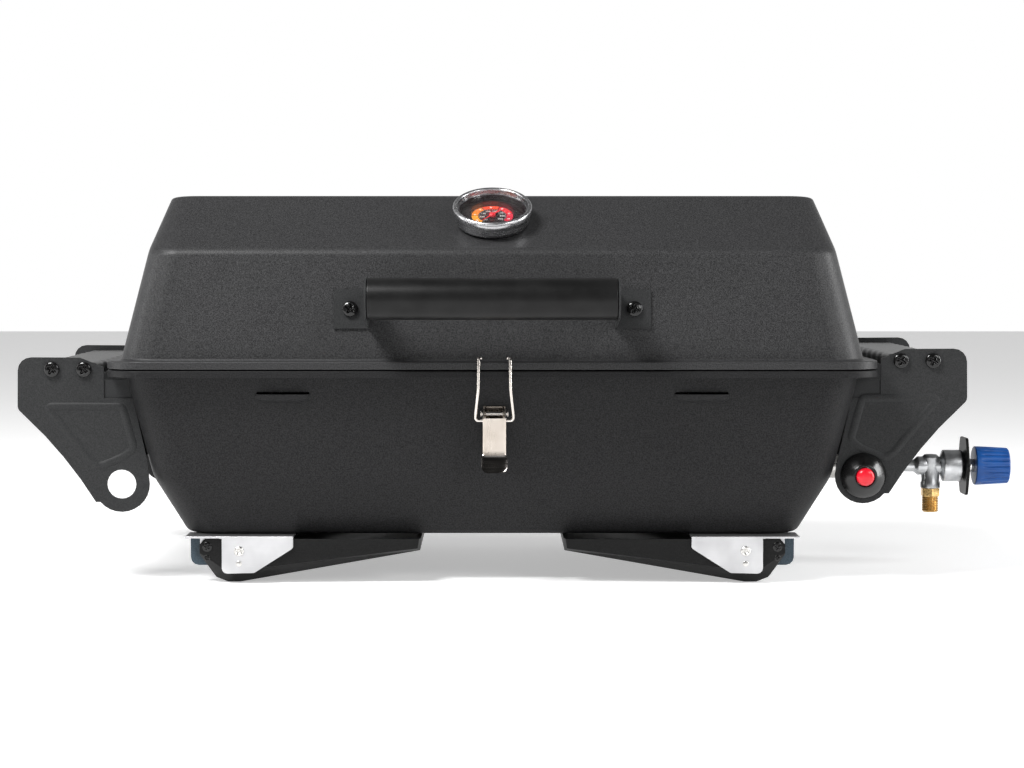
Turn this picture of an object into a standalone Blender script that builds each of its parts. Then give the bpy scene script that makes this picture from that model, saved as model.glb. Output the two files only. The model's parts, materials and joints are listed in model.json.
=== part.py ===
"""Portable tabletop gas grill: a folding-leg steel firebox with a hinged lid, draw latch and gas valve.

Metres, +Z up. The front faces -Y. Pieces are made round the middle of the firebox, and at the end the whole
grill moves so that the origin is on the table, under the middle of its bounding box.
"""

import math

import bmesh
import bpy
from mathutils import Matrix, Vector

# ---- driving dimensions ---------------------------------------------------------------------------
GAP = 0.0003            # air left between pieces that touch
SHEET = 0.0015          # steel sheet of the shells
RIM_X, RIM_Y = 0.2860, 0.1700        # half size of both rims
RIM_RADIUS = 0.0300
BOX_FLOOR_Z = 0.0358    # underside of the firebox
BOX_CREASE_Z = 0.0800   # where its walls turn in
BOX_TOP_Z = 0.1610      # top of its rim
LID_LIP_Z = 0.1621      # bottom edge of the lid
LID_RIM_Z = 0.1680
LID_CREASE_Z = 0.2496
LID_RIDGE_Z = 0.2915
LID_REAR_Z = 0.2776
BOX_TOP_X, BOX_TOP_Y = 0.2735, 0.1600        # half sizes of the firebox at its three levels
BOX_CREASE_X, BOX_CREASE_Y = 0.2555, 0.1425
BOX_FLOOR_X, BOX_FLOOR_Y = 0.2320, 0.1180
LID_WALL_X, LID_WALL_Y = 0.2765, 0.1610
LID_CREASE_X, LID_CREASE_Y = 0.2565, 0.1490
LID_RIDGE_X, LID_RIDGE_Y = 0.2480, 0.0740
LID_REAR_Y = 0.1130

PLATE_Y = 0.1250        # inner face of the four side plates
PLATE_THICK = 0.0016
RIGHT_LIFT = 0.0065     # the valve side's plates sit this much higher
LOBE_X, LOBE_Z, LOBE_RADIUS, LOBE_HOLE = 0.2783, 0.0741, 0.0210, 0.0109
GRIP_SCREW_X, GRIP_SCREW_Z = (0.3300, 0.3060), 0.1603

LEG_PIVOT_X, LEG_PIVOT_Z = 0.2138, 0.0274
LEG_CHEEK_Y = 0.1318    # outer face of a leg's cheeks
LEG_FOLD = 0.0090       # width of the slanted band along a leg's edge
LEG_SHEET = 0.0020
LEG_TOP_Z = 0.0333

HINGE_X, HINGE_Y, HINGE_Z = 0.1600, 0.1775, 0.1615
HANDLE_Y, HANDLE_Z, HANDLE_RADIUS, HANDLE_HALF = -0.2050, 0.2145, 0.0151, 0.0896
DIAL_Y, DIAL_Z, DIAL_RADIUS = -0.1129, 0.2702, 0.0297
NEEDLE_TURN = math.radians(140)      # the pointer's turn to the left from the dial's top, at the cold end
VALVE_Z = 0.0773
LATCH_X = 0.0015
LATCH_PIVOT = (-0.1605, 0.1295)      # y, z of the lever's pin
BAIL_PIVOT = (-0.1640, 0.1245)       # y, z of the wire through the lever
IGNITER_Z = LOBE_Z + RIGHT_LIFT
TO_FOOTPRINT_MIDDLE = (-0.02877, 0.01905, 0.0)      # from the firebox's middle to the bounding box's

PARTS = "portable_grill"
CUTTERS = "cutters"

for old in list(bpy.data.objects):
    bpy.data.objects.remove(old)
collections = {}
for title in (PARTS, CUTTERS):
    collections[title] = bpy.data.collections.new(title)
    bpy.context.scene.collection.children.link(collections[title])


# ---- materials ------------------------------------------------------------------------------------
def material(name, color, roughness, metallic=0.0, alpha=1.0):
    made = bpy.data.materials.new(name)
    made.use_nodes = True
    shader = made.node_tree.nodes["Principled BSDF"]
    shader.inputs["Base Color"].default_value = (*color, 1.0)
    shader.inputs["Roughness"].default_value = roughness
    shader.inputs["Metallic"].default_value = metallic
    shader.inputs["Alpha"].default_value = alpha
    return made


BLACK_PAINT = material("black_paint", (0.030, 0.030, 0.032), 0.55)
BRACKET_PAINT = material("bracket_paint", (0.075, 0.077, 0.080), 0.60)
LEG_PAINT = material("leg_paint", (0.020, 0.020, 0.021), 0.45)
STEEL = material("bare_steel", (0.62, 0.61, 0.59), 0.30, 1.0)
NICKEL = material("nickel_plate", (0.66, 0.60, 0.54), 0.28, 1.0)
SCREW_BLACK = material("black_oxide", (0.010, 0.010, 0.011), 0.25)
GRIP_BLACK = material("grip_black", (0.024, 0.024, 0.026), 0.50)
BRASS = material("brass", (0.60, 0.42, 0.17), 0.30, 1.0)
VALVE_GREY = material("valve_zinc", (0.50, 0.51, 0.52), 0.40, 1.0)
KNOB_BLUE = material("knob_blue", (0.015, 0.090, 0.270), 0.40)
BUTTON_RED = material("button_red", (0.550, 0.012, 0.040), 0.30)
IRON = material("grate_enamel", (0.012, 0.012, 0.013), 0.50)
DIAL_FACE = material("dial_print", (0.040, 0.030, 0.032), 0.45)
NEEDLE_RED = material("needle_red", (0.650, 0.020, 0.050), 0.40)
GLASS = material("glass", (0.95, 0.97, 0.98), 0.04, 0.0, 0.25)
CERAMIC = material("ceramic", (0.80, 0.78, 0.72), 0.35)
CABLE_BLACK = material("cable_black", (0.015, 0.015, 0.016), 0.50)
STOP_GREY = material("stop_grey", (0.050, 0.075, 0.095), 0.45)


# ---- helpers --------------------------------------------------------------------------------------
def place(obj, title=PARTS, paint=None):
    """Links an object into a collection and gives it its material."""
    collections[title].objects.link(obj)
    if paint is not None:
        obj.data.materials.clear()
        obj.data.materials.append(paint)
    if title == CUTTERS:
        obj.hide_render = True
        obj.display_type = "WIRE"
    return obj


def from_bmesh(name, bm, paint=None, title=PARTS):
    mesh = bpy.data.meshes.new(name)
    bm.to_mesh(mesh)
    bm.free()
    return place(bpy.data.objects.new(name, mesh), title, paint)


def smooth(obj, angle=35):
    obj.data.shade_smooth()
    obj.data.set_sharp_from_angle(angle=math.radians(angle))
    return obj


def box(name, low, high, paint=None, title=PARTS):
    """A block between two corners."""
    bm = bmesh.new()
    bmesh.ops.create_cube(bm, size=1.0)
    size = Vector(high) - Vector(low)
    centre = (Vector(high) + Vector(low)) / 2
    bmesh.ops.transform(bm, matrix=Matrix.Translation(centre) @ Matrix.Diagonal((*size, 1)), verts=bm.verts)
    return from_bmesh(name, bm, paint, title)


def rod(name, start, end, radius, sides=16, paint=None, title=PARTS):
    """A plain cylinder from one point to another."""
    start, end = Vector(start), Vector(end)
    bm = bmesh.new()
    bmesh.ops.create_cone(bm, cap_ends=True, segments=sides, radius1=radius, radius2=radius,
                          depth=(end - start).length)
    turn = (end - start).to_track_quat("Z", "Y").to_matrix().to_4x4()
    bmesh.ops.transform(bm, matrix=Matrix.Translation((start + end) / 2) @ turn, verts=bm.verts)
    made = from_bmesh(name, bm, paint, title)
    return smooth(made)


def turned(name, profile, origin, axis, paint=None, sides=24, title=PARTS):
    """A lathe-turned piece: (radius, height) pairs run from the top of the axis to its bottom."""
    closed = profile[0] == profile[-1]
    bm = bmesh.new()
    points = [bm.verts.new((radius, 0, height)) for radius, height in (profile[:-1] if closed else profile)]
    for a, b in zip(points, points[1:]):
        bm.edges.new((a, b))
    if closed:
        bm.edges.new((points[-1], points[0]))
    made = from_bmesh(name, bm, paint, title)
    spin = made.modifiers.new("turn", "SCREW")
    spin.steps = spin.render_steps = sides
    spin.use_merge_vertices = True
    spin.merge_threshold = 0.00002
    spin.use_smooth_shade = False
    made.location = origin
    made.rotation_mode = "QUATERNION"
    made.rotation_quaternion = Vector(axis).to_track_quat("Z", "Y")
    return made


def face_out(bm):
    """Makes every face of a closed mesh point outwards."""
    bmesh.ops.recalc_face_normals(bm, faces=bm.faces)
    if bm.calc_volume(signed=True) < 0:
        bmesh.ops.reverse_faces(bm, faces=bm.faces)


def as_mesh(obj):
    """Turns a curve object into a welded mesh object with the same name, place and collection."""
    bpy.context.view_layer.update()
    evaluated = obj.evaluated_get(bpy.context.evaluated_depsgraph_get())
    mesh = bpy.data.meshes.new_from_object(evaluated)
    bm = bmesh.new()
    bm.from_mesh(mesh)
    bmesh.ops.remove_doubles(bm, verts=bm.verts, dist=0.00001)
    face_out(bm)
    bm.to_mesh(mesh)
    bm.free()
    name, matrix, home = obj.name, obj.matrix_world.copy(), obj.users_collection[0]
    bpy.data.objects.remove(obj)
    made = bpy.data.objects.new(name, mesh)
    home.objects.link(made)
    made.matrix_world = matrix
    if home == collections[CUTTERS]:
        made.hide_render = True
        made.display_type = "WIRE"
    return made


def arc(centre, radius, start, end, steps=6):
    """Points on a circle between two angles in degrees."""
    turns = [math.radians(start + (end - start) * i / steps) for i in range(steps + 1)]
    return [(centre[0] + radius * math.cos(t), centre[1] + radius * math.sin(t)) for t in turns]


def rounded(corners, steps=4):
    """An outline from (u, v, radius) corners, each rounded by an arc."""
    points = []
    count = len(corners)
    for i, (u, v, radius) in enumerate(corners):
        here = Vector((u, v))
        if radius == 0:
            points.append((u, v))
            continue
        before = (Vector(corners[i - 1][:2]) - here).normalized()
        after = (Vector(corners[(i + 1) % count][:2]) - here).normalized()
        half = before.angle(after) / 2
        centre = here + (before + after).normalized() * (radius / math.sin(half))
        first = here + before * (radius / math.tan(half)) - centre
        last = here + after * (radius / math.tan(half)) - centre
        start = math.degrees(math.atan2(first.y, first.x))
        sweep = (math.degrees(math.atan2(last.y, last.x)) - start + 180) % 360 - 180
        points += arc(centre, radius, start, start + sweep, steps)
    return points


def plate(name, outline, thickness, axis, at, paint=None, holes=(), title=PARTS):
    """A flat piece cut from sheet. Its outline lies across the axis, and at is its lower face there."""
    curve = bpy.data.curves.new(name, "CURVE")
    curve.dimensions = "2D"
    curve.fill_mode = "BOTH"
    curve.extrude = thickness / 2
    for loop in [outline, *holes]:
        line = curve.splines.new("POLY")
        line.points.add(len(loop) - 1)
        for point, (u, v) in zip(line.points, loop):
            point.co = (u, v, 0, 1)
        line.use_cyclic_u = True
    if paint is not None:
        curve.materials.append(paint)
    made = place(bpy.data.objects.new(name, curve), title)
    middle = at + thickness / 2
    if axis == "Y":      # outline is (x, z)
        made.matrix_world = Matrix(((1, 0, 0, 0), (0, 0, -1, middle), (0, 1, 0, 0), (0, 0, 0, 1)))
    elif axis == "X":    # outline is (y, z)
        made.matrix_world = Matrix(((0, 0, 1, middle), (1, 0, 0, 0), (0, 1, 0, 0), (0, 0, 0, 1)))
    else:                # outline is (x, y)
        made.matrix_world = Matrix.Translation((0, 0, middle))
    return as_mesh(made)


def boolean(obj, other, operation):
    """Joins another solid to obj, or cuts it away. The other solid moves to the cutters."""
    for home in list(other.users_collection):
        home.objects.unlink(other)
    place(other, CUTTERS)
    step = obj.modifiers.new(other.name, "BOOLEAN")
    step.operation = operation
    step.object = other
    step.solver = "EXACT"
    return obj


def join(obj, *others):
    for other in others:
        boolean(obj, other, "UNION")
    return obj


def cut(obj, *others):
    for other in others:
        boolean(obj, other, "DIFFERENCE")
    return obj


def drill(obj, start, end, radius, sides=16):
    """A round hole through obj between two points."""
    return cut(obj, rod(f"{obj.name}_drill_{len(obj.modifiers)}", start, end, radius, sides, title=CUTTERS))


def ring(half_x, front, rear, radius, z_front, z_rear=None, steps=4):
    """A rounded rectangle seen from above, anticlockwise. Its height may slope from front to rear."""
    z_rear = z_front if z_rear is None else z_rear
    corners = [(half_x, rear, 0), (-half_x, rear, 90), (-half_x, front, 180), (half_x, front, 270)]
    points = []
    for x, y, start in corners:
        centre = (x - math.copysign(radius, x), y - math.copysign(radius, y))
        points += arc(centre, radius, start, start + 90, steps)
    return [(x, y, z_front + (z_rear - z_front) * (y - front) / (rear - front)) for x, y in points]


def shell(name, rings, thickness, paint, cap="last"):
    """A sheet lofted through rings, closed over its first or last ring, with its wall grown inwards."""
    bm = bmesh.new()
    loops = [[bm.verts.new(p) for p in points] for points in rings]
    count = len(loops[0])
    for lower, upper in zip(loops, loops[1:]):
        for i in range(count):
            j = (i + 1) % count
            bm.faces.new((lower[i], lower[j], upper[j], upper[i]))
    if cap == "last":
        bm.faces.new(loops[-1])
    else:
        bm.faces.new(list(reversed(loops[0])))
    made = from_bmesh(name, bm, paint)
    wall = made.modifiers.new("sheet", "SOLIDIFY")
    wall.thickness = thickness
    wall.offset = -1
    wall.use_even_offset = True
    wall.use_rim = True
    return smooth(made)


def box_wall_x(z):
    """Half width of the firebox's upper wall at a height."""
    return BOX_CREASE_X + (BOX_TOP_X - BOX_CREASE_X) * (z - BOX_CREASE_Z) / (BOX_TOP_Z - BOX_CREASE_Z)


def box_wall_y(z):
    """Distance of the firebox's upper front wall from the middle at a height."""
    return BOX_CREASE_Y + (BOX_TOP_Y - BOX_CREASE_Y) * (z - BOX_CREASE_Z) / (BOX_TOP_Z - BOX_CREASE_Z)


def lid_wall_y(z):
    """Distance of the lid's lower front wall from the middle at a height."""
    return LID_WALL_Y + (LID_CREASE_Y - LID_WALL_Y) * (z - LID_RIM_Z) / (LID_CREASE_Z - LID_RIM_Z)


# ---- firebox --------------------------------------------------------------------------------------
def make_firebox():
    ledge_z = BOX_TOP_Z - SHEET
    made = shell("firebox", [
        ring(BOX_FLOOR_X, -BOX_FLOOR_Y, BOX_FLOOR_Y, 0.024, BOX_FLOOR_Z),
        ring(BOX_CREASE_X, -BOX_CREASE_Y, BOX_CREASE_Y, 0.026, BOX_CREASE_Z),
        ring(BOX_TOP_X, -BOX_TOP_Y, BOX_TOP_Y, 0.026, ledge_z),
        ring(RIM_X - SHEET, SHEET - RIM_Y, RIM_Y - SHEET, RIM_RADIUS - SHEET, ledge_z),
        ring(RIM_X - SHEET, SHEET - RIM_Y, RIM_Y - SHEET, RIM_RADIUS - SHEET, BOX_TOP_Z - 0.0050),
    ], SHEET, BLACK_PAINT, cap="first")
    for side in (-1, 1):      # louvre slots in the front wall
        cut(made, box(f"louvre_cutter_{side}", (side * 0.1545 - 0.0200, -0.1640, 0.1402),
                      (side * 0.1545 + 0.0200, -0.1500, 0.1452), title=CUTTERS))
    drill(made, (0.235, 0, VALVE_Z), (0.275, 0, VALVE_Z), 0.0112, 20)
    drill(made, (0.245, -0.022, 0.094), (0.275, -0.022, 0.094), 0.0034)
    return made


# ---- lid ------------------------------------------------------------------------------------------
def make_lid():
    made = shell("lid", [
        ring(RIM_X, -RIM_Y, RIM_Y, RIM_RADIUS, LID_LIP_Z),
        ring(RIM_X, -RIM_Y, RIM_Y, RIM_RADIUS, LID_RIM_Z),
        ring(LID_WALL_X, -LID_WALL_Y, LID_WALL_Y, 0.026, LID_RIM_Z),
        ring(LID_CREASE_X, -LID_CREASE_Y, LID_CREASE_Y, 0.024, LID_CREASE_Z),
        ring(LID_RIDGE_X, -LID_RIDGE_Y, LID_REAR_Y, 0.020, LID_RIDGE_Z, LID_REAR_Z),
    ], SHEET, BLACK_PAINT)
    for side in (-1, 1):      # notches that the latch wire's hooks drop into
        cut(made, box(f"hook_notch_{side}", (LATCH_X + side * 0.0112 - 0.0042, -0.1720, 0.1600),
                      (LATCH_X + side * 0.0112 + 0.0042, -0.1645, 0.1700), title=CUTTERS))
    return made


# ---- side plates and grips ------------------------------------------------------------------------
def plate_outline(side, lift):
    """The side plate in (x, z): square top, a nose cut away round the rims, and a round lobe below."""
    top = rounded([(0.3555, 0.1695, 0.010), (0.3091, 0.1692, 0.004), (0.2911, 0.1620, 0.0015),
                   (0.2911, 0.1388 - lift, 0), (box_wall_x(0.1388) + 0.0008, 0.1388 - lift, 0),
                   (box_wall_x(0.0880) + 0.0009, 0.0880 - lift, 0), (0.2990, 0.0600, 0),
                   (0.3560, 0.1310, 0.006)])
    inner = [p for p in top if p[1] > 0.0800 and p[0] < 0.3000]
    outer = [p for p in top if p[0] > 0.3050]
    lobe = arc((LOBE_X, LOBE_Z), LOBE_RADIUS, 166, 320, 12)
    sweep_from, sweep_to = Vector((0.2978, 0.0606)), Vector((0.3500, 0.1250))
    bow = Vector((-0.0021, 0.0017))
    sweep = [tuple(sweep_from.lerp(sweep_to, t) + bow * 4 * t * (1 - t)) for t in (0.0, 0.25, 0.5, 0.75)]
    corner = [p for p in outer if p[1] < 0.1450]
    top_edge = [p for p in outer if p[1] >= 0.1450]
    loop = top_edge + inner + lobe + sweep + corner
    return [(side * x, z + lift) for x, z in loop]


def make_side_plate(side, end):
    """One of four pressed plates; side is -1 left or 1 right, end is -1 front or 1 rear."""
    lift = RIGHT_LIFT if side > 0 else 0.0
    name = f"side_plate_{'right' if side > 0 else 'left'}_{'rear' if end > 0 else 'front'}"
    face = PLATE_Y if end > 0 else -PLATE_Y - PLATE_THICK
    hole = [(side * LOBE_X + x, LOBE_Z + lift + z) for x, z in arc((0, 0), LOBE_HOLE, 0, 345, 23)]
    made = plate(name, plate_outline(side, lift), PLATE_THICK, "Y", face, BRACKET_PAINT, [hole])
    low, high = 0.0960, 0.1370
    tab = [(side * (box_wall_x(low) + 0.0007), low), (side * (box_wall_x(high) + 0.0007), high),
           (side * (box_wall_x(high) + 0.0023), high), (side * (box_wall_x(low) + 0.0023), low)]
    depth = 0.0140
    tab_face = PLATE_Y - depth if end > 0 else -PLATE_Y - PLATE_THICK / 2
    join(made, plate(f"{name}_tab", tab, depth + PLATE_THICK / 2, "Y", tab_face, title=CUTTERS))
    below_rim = [(side * 0.2945, 0.1310), (side * 0.2945, 0.1525),
                 (side * (box_wall_x(0.1525) + 0.0012), 0.1525), (side * (box_wall_x(0.1310) + 0.0012), 0.1310)]
    filler_at = PLATE_Y - 0.0015 if end > 0 else -PLATE_Y - 0.0005
    join(made, plate(f"{name}_filler", below_rim, 0.0020, "Y", filler_at, title=CUTTERS))
    for x in GRIP_SCREW_X:
        drill(made, (side * x, end * 0.110, GRIP_SCREW_Z + lift), (side * x, end * 0.140, GRIP_SCREW_Z + lift),
              0.0027)
    return made


def make_grip(side):
    """The slat between a side's two plates that a hand carries the grill by."""
    lift = RIGHT_LIFT if side > 0 else 0.0
    half_y = PLATE_Y - GAP
    name = f"side_grip_{'right' if side > 0 else 'left'}"
    outline = rounded([(side * 0.3400, 0.1550 + lift, 0.004), (side * 0.2965, 0.1550 + lift, 0.004),
                       (side * 0.2965, 0.1655 + lift, 0.004), (side * 0.3400, 0.1655 + lift, 0.004)], 3)
    made = plate(name, outline, 2 * half_y, "Y", -half_y, GRIP_BLACK)
    for x in GRIP_SCREW_X:
        for end in (-1, 1):
            drill(made, (side * x, end * 0.112, GRIP_SCREW_Z + lift), (side * x, end * 0.130, GRIP_SCREW_Z + lift),
                  0.0027)
    return made


def pan_screw(name, point, direction, shank, head_radius=0.0057, head_height=0.0034, paint=SCREW_BLACK):
    """A domed screw whose head's underside is at point; direction is the way its head faces."""
    dome = [(head_radius * math.cos(t), 0.0008 + (head_height - 0.0008) * math.sin(t))
            for t in (math.radians(a) for a in (78, 52, 26, 0))]
    profile = [(0.0, head_height), *dome, (head_radius, 0.0), (0.0024, 0.0), (0.0024, -shank), (0.0, -shank)]
    return turned(name, profile, point, direction, paint, 16)


def make_grip_screws():
    for side, side_name in ((-1, "left"), (1, "right")):
        lift = RIGHT_LIFT if side > 0 else 0.0
        for end, end_name in ((-1, "front"), (1, "rear")):
            for number, x in enumerate(GRIP_SCREW_X, 1):
                pan_screw(f"grip_screw_{side_name}_{end_name}_{number}",
                          (side * x, end * (PLATE_Y + PLATE_THICK + GAP), GRIP_SCREW_Z + lift), (0, end, 0), 0.0120)


# ---- legs -----------------------------------------------------------------------------------------
def leg_sections():
    """A folded leg seen from the front, (x, z): the cheek's flat face, and the whole outline."""
    cheek = [(0.2158, LEG_TOP_Z), (0.2197, 0.0290), (0.2197, 0.0230), (0.2020, 0.0110), (0.1945, 0.0095),
             (0.1890, 0.0097), (0.0560, 0.0262), (0.0550, LEG_TOP_Z)]
    whole = [(0.2158, LEG_TOP_Z), (0.2197, 0.0290), (0.2197, 0.0170), (0.2078, 0.0034), (0.1990, 0.0),
             (0.1900, 0.0), (0.0543, 0.0238), (0.0535, LEG_TOP_Z)]
    return cheek, whole


def leg_tray(name, side, sections, half_widths, paint=None, title=PARTS):
    """A long wedge with slanted lower edges, lofted across the grill from front to rear."""
    cheek, whole = sections
    outer, inner = half_widths
    stations = [(-outer, cheek), (-inner, whole), (inner, whole), (outer, cheek)]
    bm = bmesh.new()
    loops = [[bm.verts.new((side * x, y, z)) for x, z in outline] for y, outline in stations]
    count = len(cheek)
    for a, b in zip(loops, loops[1:]):
        for i in range(count):
            j = (i + 1) % count
            bm.faces.new((a[i], a[j], b[j], b[i]))
    bm.faces.new(loops[0])
    bm.faces.new(loops[-1])
    face_out(bm)
    return from_bmesh(name, bm, paint, title)


def make_leg(side):
    name = f"leg_{'right' if side > 0 else 'left'}"
    cheek, whole = leg_sections()
    made = leg_tray(name, side, (cheek, whole), (LEG_CHEEK_Y, LEG_CHEEK_Y - LEG_FOLD), LEG_PAINT)
    hollow_cheek = [(0.2500, 0.0500), (0.2500, 0.0230), (0.2040, 0.0230), (0.2020, 0.0130), (0.1945, 0.0115),
                    (0.1890, 0.0117), (0.0572, 0.0282), (0.0572, 0.0500)]
    hollow_whole = [(0.2500, 0.0500), (0.2500, 0.0040), (0.2040, 0.0040), (0.2020, 0.0024), (0.1990, 0.0020),
                    (0.1900, 0.0020), (0.0572, 0.0254), (0.0572, 0.0500)]
    cut(made, leg_tray(f"{name}_hollow", side, (hollow_cheek, hollow_whole),
                       (LEG_CHEEK_Y - LEG_SHEET, LEG_CHEEK_Y - LEG_FOLD - 0.0006), title=CUTTERS))
    for end in (-1, 1):
        drill(made, (side * LEG_PIVOT_X, end * 0.1250, LEG_PIVOT_Z), (side * LEG_PIVOT_X, end * 0.1350, LEG_PIVOT_Z),
              0.0026)
    return made


def make_leg_bracket(side, end):
    """A folded bracket under the firebox: a top flange, a deep outer cheek and a small inner ear."""
    name = f"leg_bracket_{'right' if side > 0 else 'left'}_{'rear' if end > 0 else 'front'}"
    thick = 0.0015
    outer_face = 0.1345
    flange_z = 0.0340
    low = (min(side * 0.2303, side * 0.1492), min(end * outer_face, end * 0.1050), flange_z)
    high = (max(side * 0.2303, side * 0.1492), max(end * outer_face, end * 0.1050), flange_z + thick)
    made = box(name, low, high, STEEL)
    cheek = rounded([(side * 0.2027, flange_z + 0.0008, 0), (side * 0.2027, 0.0074, 0.004),
                     (side * 0.1785, 0.0080, 0.003), (side * 0.1492, 0.0266, 0.003),
                     (side * 0.1492, flange_z + 0.0008, 0)], 3)
    cheek_at = outer_face - thick if end > 0 else -outer_face
    ear = rounded([(side * (LEG_PIVOT_X + 0.006), flange_z + 0.0008, 0), (side * (LEG_PIVOT_X + 0.006), 0.0208, 0.005),
                   (side * (LEG_PIVOT_X - 0.006), 0.0208, 0.005), (side * (LEG_PIVOT_X - 0.006), flange_z + 0.0008, 0)],
                  3)
    ear_at = 0.1250 if end > 0 else -0.1250 - thick
    join(made, plate(f"{name}_cheek", cheek, thick, "Y", cheek_at, title=CUTTERS),
         plate(f"{name}_ear", ear, thick, "Y", ear_at, title=CUTTERS))
    drill(made, (side * LEG_PIVOT_X, end * 0.1200, LEG_PIVOT_Z), (side * LEG_PIVOT_X, end * 0.1290, LEG_PIVOT_Z),
          0.0026)
    return made


def make_leg_pin(side, end):
    """The pin that a leg's cheek turns on: a low head outside the cheek and a riveted tail inside the ear."""
    name = f"leg_pin_{'right' if side > 0 else 'left'}_{'rear' if end > 0 else 'front'}"
    profile = [(0.0, 0.0012), (0.0030, 0.0012), (0.0036, 0.0006), (0.0036, 0.0), (0.0024, 0.0), (0.0024, -0.0076),
               (0.0034, -0.0076), (0.0034, -0.0088), (0.0, -0.0088)]
    return turned(name, profile, (side * LEG_PIVOT_X, end * (LEG_CHEEK_Y + GAP), LEG_PIVOT_Z), (0, end, 0), STEEL, 16)


def make_leg_stop(side):
    """A bent strip under the floor whose two tabs hang down behind the legs' heels."""
    name = f"leg_stop_{'right' if side > 0 else 'left'}"
    low_x, high_x = sorted((side * 0.2274, side * 0.2100))
    made = box(name, (low_x, -0.1220, 0.0322), (high_x, 0.1220, 0.0337), STOP_GREY)
    tab = rounded([(side * 0.2274, 0.0330, 0), (side * 0.2274, 0.0125, 0.006), (side * 0.2060, 0.0125, 0.003),
                   (side * 0.2060, 0.0330, 0)], 3)
    for end in (-1, 1):
        at = 0.1205 if end > 0 else -0.1220
        join(made, plate(f"{name}_tab_{end}", tab, 0.0015, "Y", at, title=CUTTERS))
    return made


# ---- cooking parts inside -------------------------------------------------------------------------
def make_grate():
    """A flat lattice that drops into the tapered firebox: two rows of long slots between its bars."""
    half_x, half_y, bars = 0.2640, 0.1505, 25
    outline = rounded([(half_x, half_y, 0.024), (-half_x, half_y, 0.024), (-half_x, -half_y, 0.024),
                       (half_x, -half_y, 0.024)], 4)
    pitch = 2 * (half_x - 0.012) / bars
    slot = pitch * 0.62
    holes = []
    for i in range(bars):
        x = -half_x + 0.012 + pitch * (i + 0.5)
        reach = half_y - (0.020 if i in (0, bars - 1) else 0.010)
        for near, far in ((0.004, reach), (-reach, -0.004)):
            holes.append([(x - slot / 2, near), (x + slot / 2, near), (x + slot / 2, far), (x - slot / 2, far)])
    return plate("cooking_grate", outline, 0.0060, "Z", 0.1350, IRON, holes)


def make_burner():
    """A capped burner tube whose open end takes the valve's jet."""
    outer = turned("burner_tube", [(0.0, 0.285), (0.0100, 0.285), (0.0100, -0.186), (0.0088, -0.190), (0.0, -0.190)],
                   (0, 0, VALVE_Z), (1, 0, 0), STEEL, 20)
    return drill(outer, (0.240, 0, VALVE_Z), (0.300, 0, VALVE_Z), 0.0070)


def make_heat_plate():
    """A roof of bent sheet over the burner."""
    thick = 0.0012
    ridge, eave, half = 0.1180, 0.1000, 0.0480
    outline = [(-half, eave), (0, ridge), (half, eave), (half, eave + thick * 1.07), (0, ridge + thick * 1.07),
               (-half, eave + thick * 1.07)]
    return plate("heat_plate", outline, 0.5080, "X", -0.2540, STEEL)


def make_drip_tray():
    low_z = BOX_FLOOR_Z + SHEET + GAP
    return shell("drip_tray", [
        ring(0.2220, -0.1080, 0.1080, 0.020, low_z),
        ring(0.2275, -0.1135, 0.1135, 0.022, low_z + 0.0110),
    ], 0.0010, STEEL, cap="first")


# ---- gas valve ------------------------------------------------------------------------------------
def make_valve():
    origin, along = (0, 0, VALVE_Z), (1, 0, 0)
    body = turned("valve_body", [
        (0.0, 0.3960), (0.0052, 0.3960), (0.0052, 0.3770), (0.0110, 0.3770), (0.0125, 0.3755), (0.0125, 0.3610),
        (0.0065, 0.3590), (0.0065, 0.3400), (0.0048, 0.3380), (0.0048, 0.2900), (0.0030, 0.2860), (0.0030, 0.2650),
        (0.0, 0.2650)], origin, along, VALVE_GREY, 20)
    join(body, turned("valve_boss", [(0.0, 0.0), (0.0072, 0.0), (0.0072, -0.0178), (0.0, -0.0178)],
                      (0.3515, 0, VALVE_Z), (0, 0, 1), sides=16, title=CUTTERS))
    turned("gas_inlet", [(0.0, 0.0), (0.0078, 0.0), (0.0080, -0.0060), (0.0066, -0.0066), (0.0066, -0.0185),
                         (0.0058, -0.0195), (0.0, -0.0195)], (0.3515, 0, VALVE_Z - 0.0181), (0, 0, 1), BRASS, 12)
    flange = rounded([(0.0125, VALVE_Z + 0.0228, 0.004), (-0.0125, VALVE_Z + 0.0228, 0.004),
                      (-0.0215, VALVE_Z, 0.006), (-0.0125, VALVE_Z - 0.0228, 0.004),
                      (0.0125, VALVE_Z - 0.0228, 0.004), (0.0215, VALVE_Z, 0.006)], 3)
    centre_hole = arc((0, VALVE_Z), 0.0056, 0, 340, 17)
    plate("valve_flange", flange, 0.0022, "X", 0.3774, LEG_PAINT, [centre_hole])
    turned("valve_knob", [
        (0.0, 0.4135), (0.0128, 0.4135), (0.0142, 0.4120), (0.0155, 0.3890), (0.0150, 0.3862), (0.0056, 0.3862),
        (0.0056, 0.3968), (0.0, 0.3968)], origin, along, KNOB_BLUE, 24)


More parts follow.
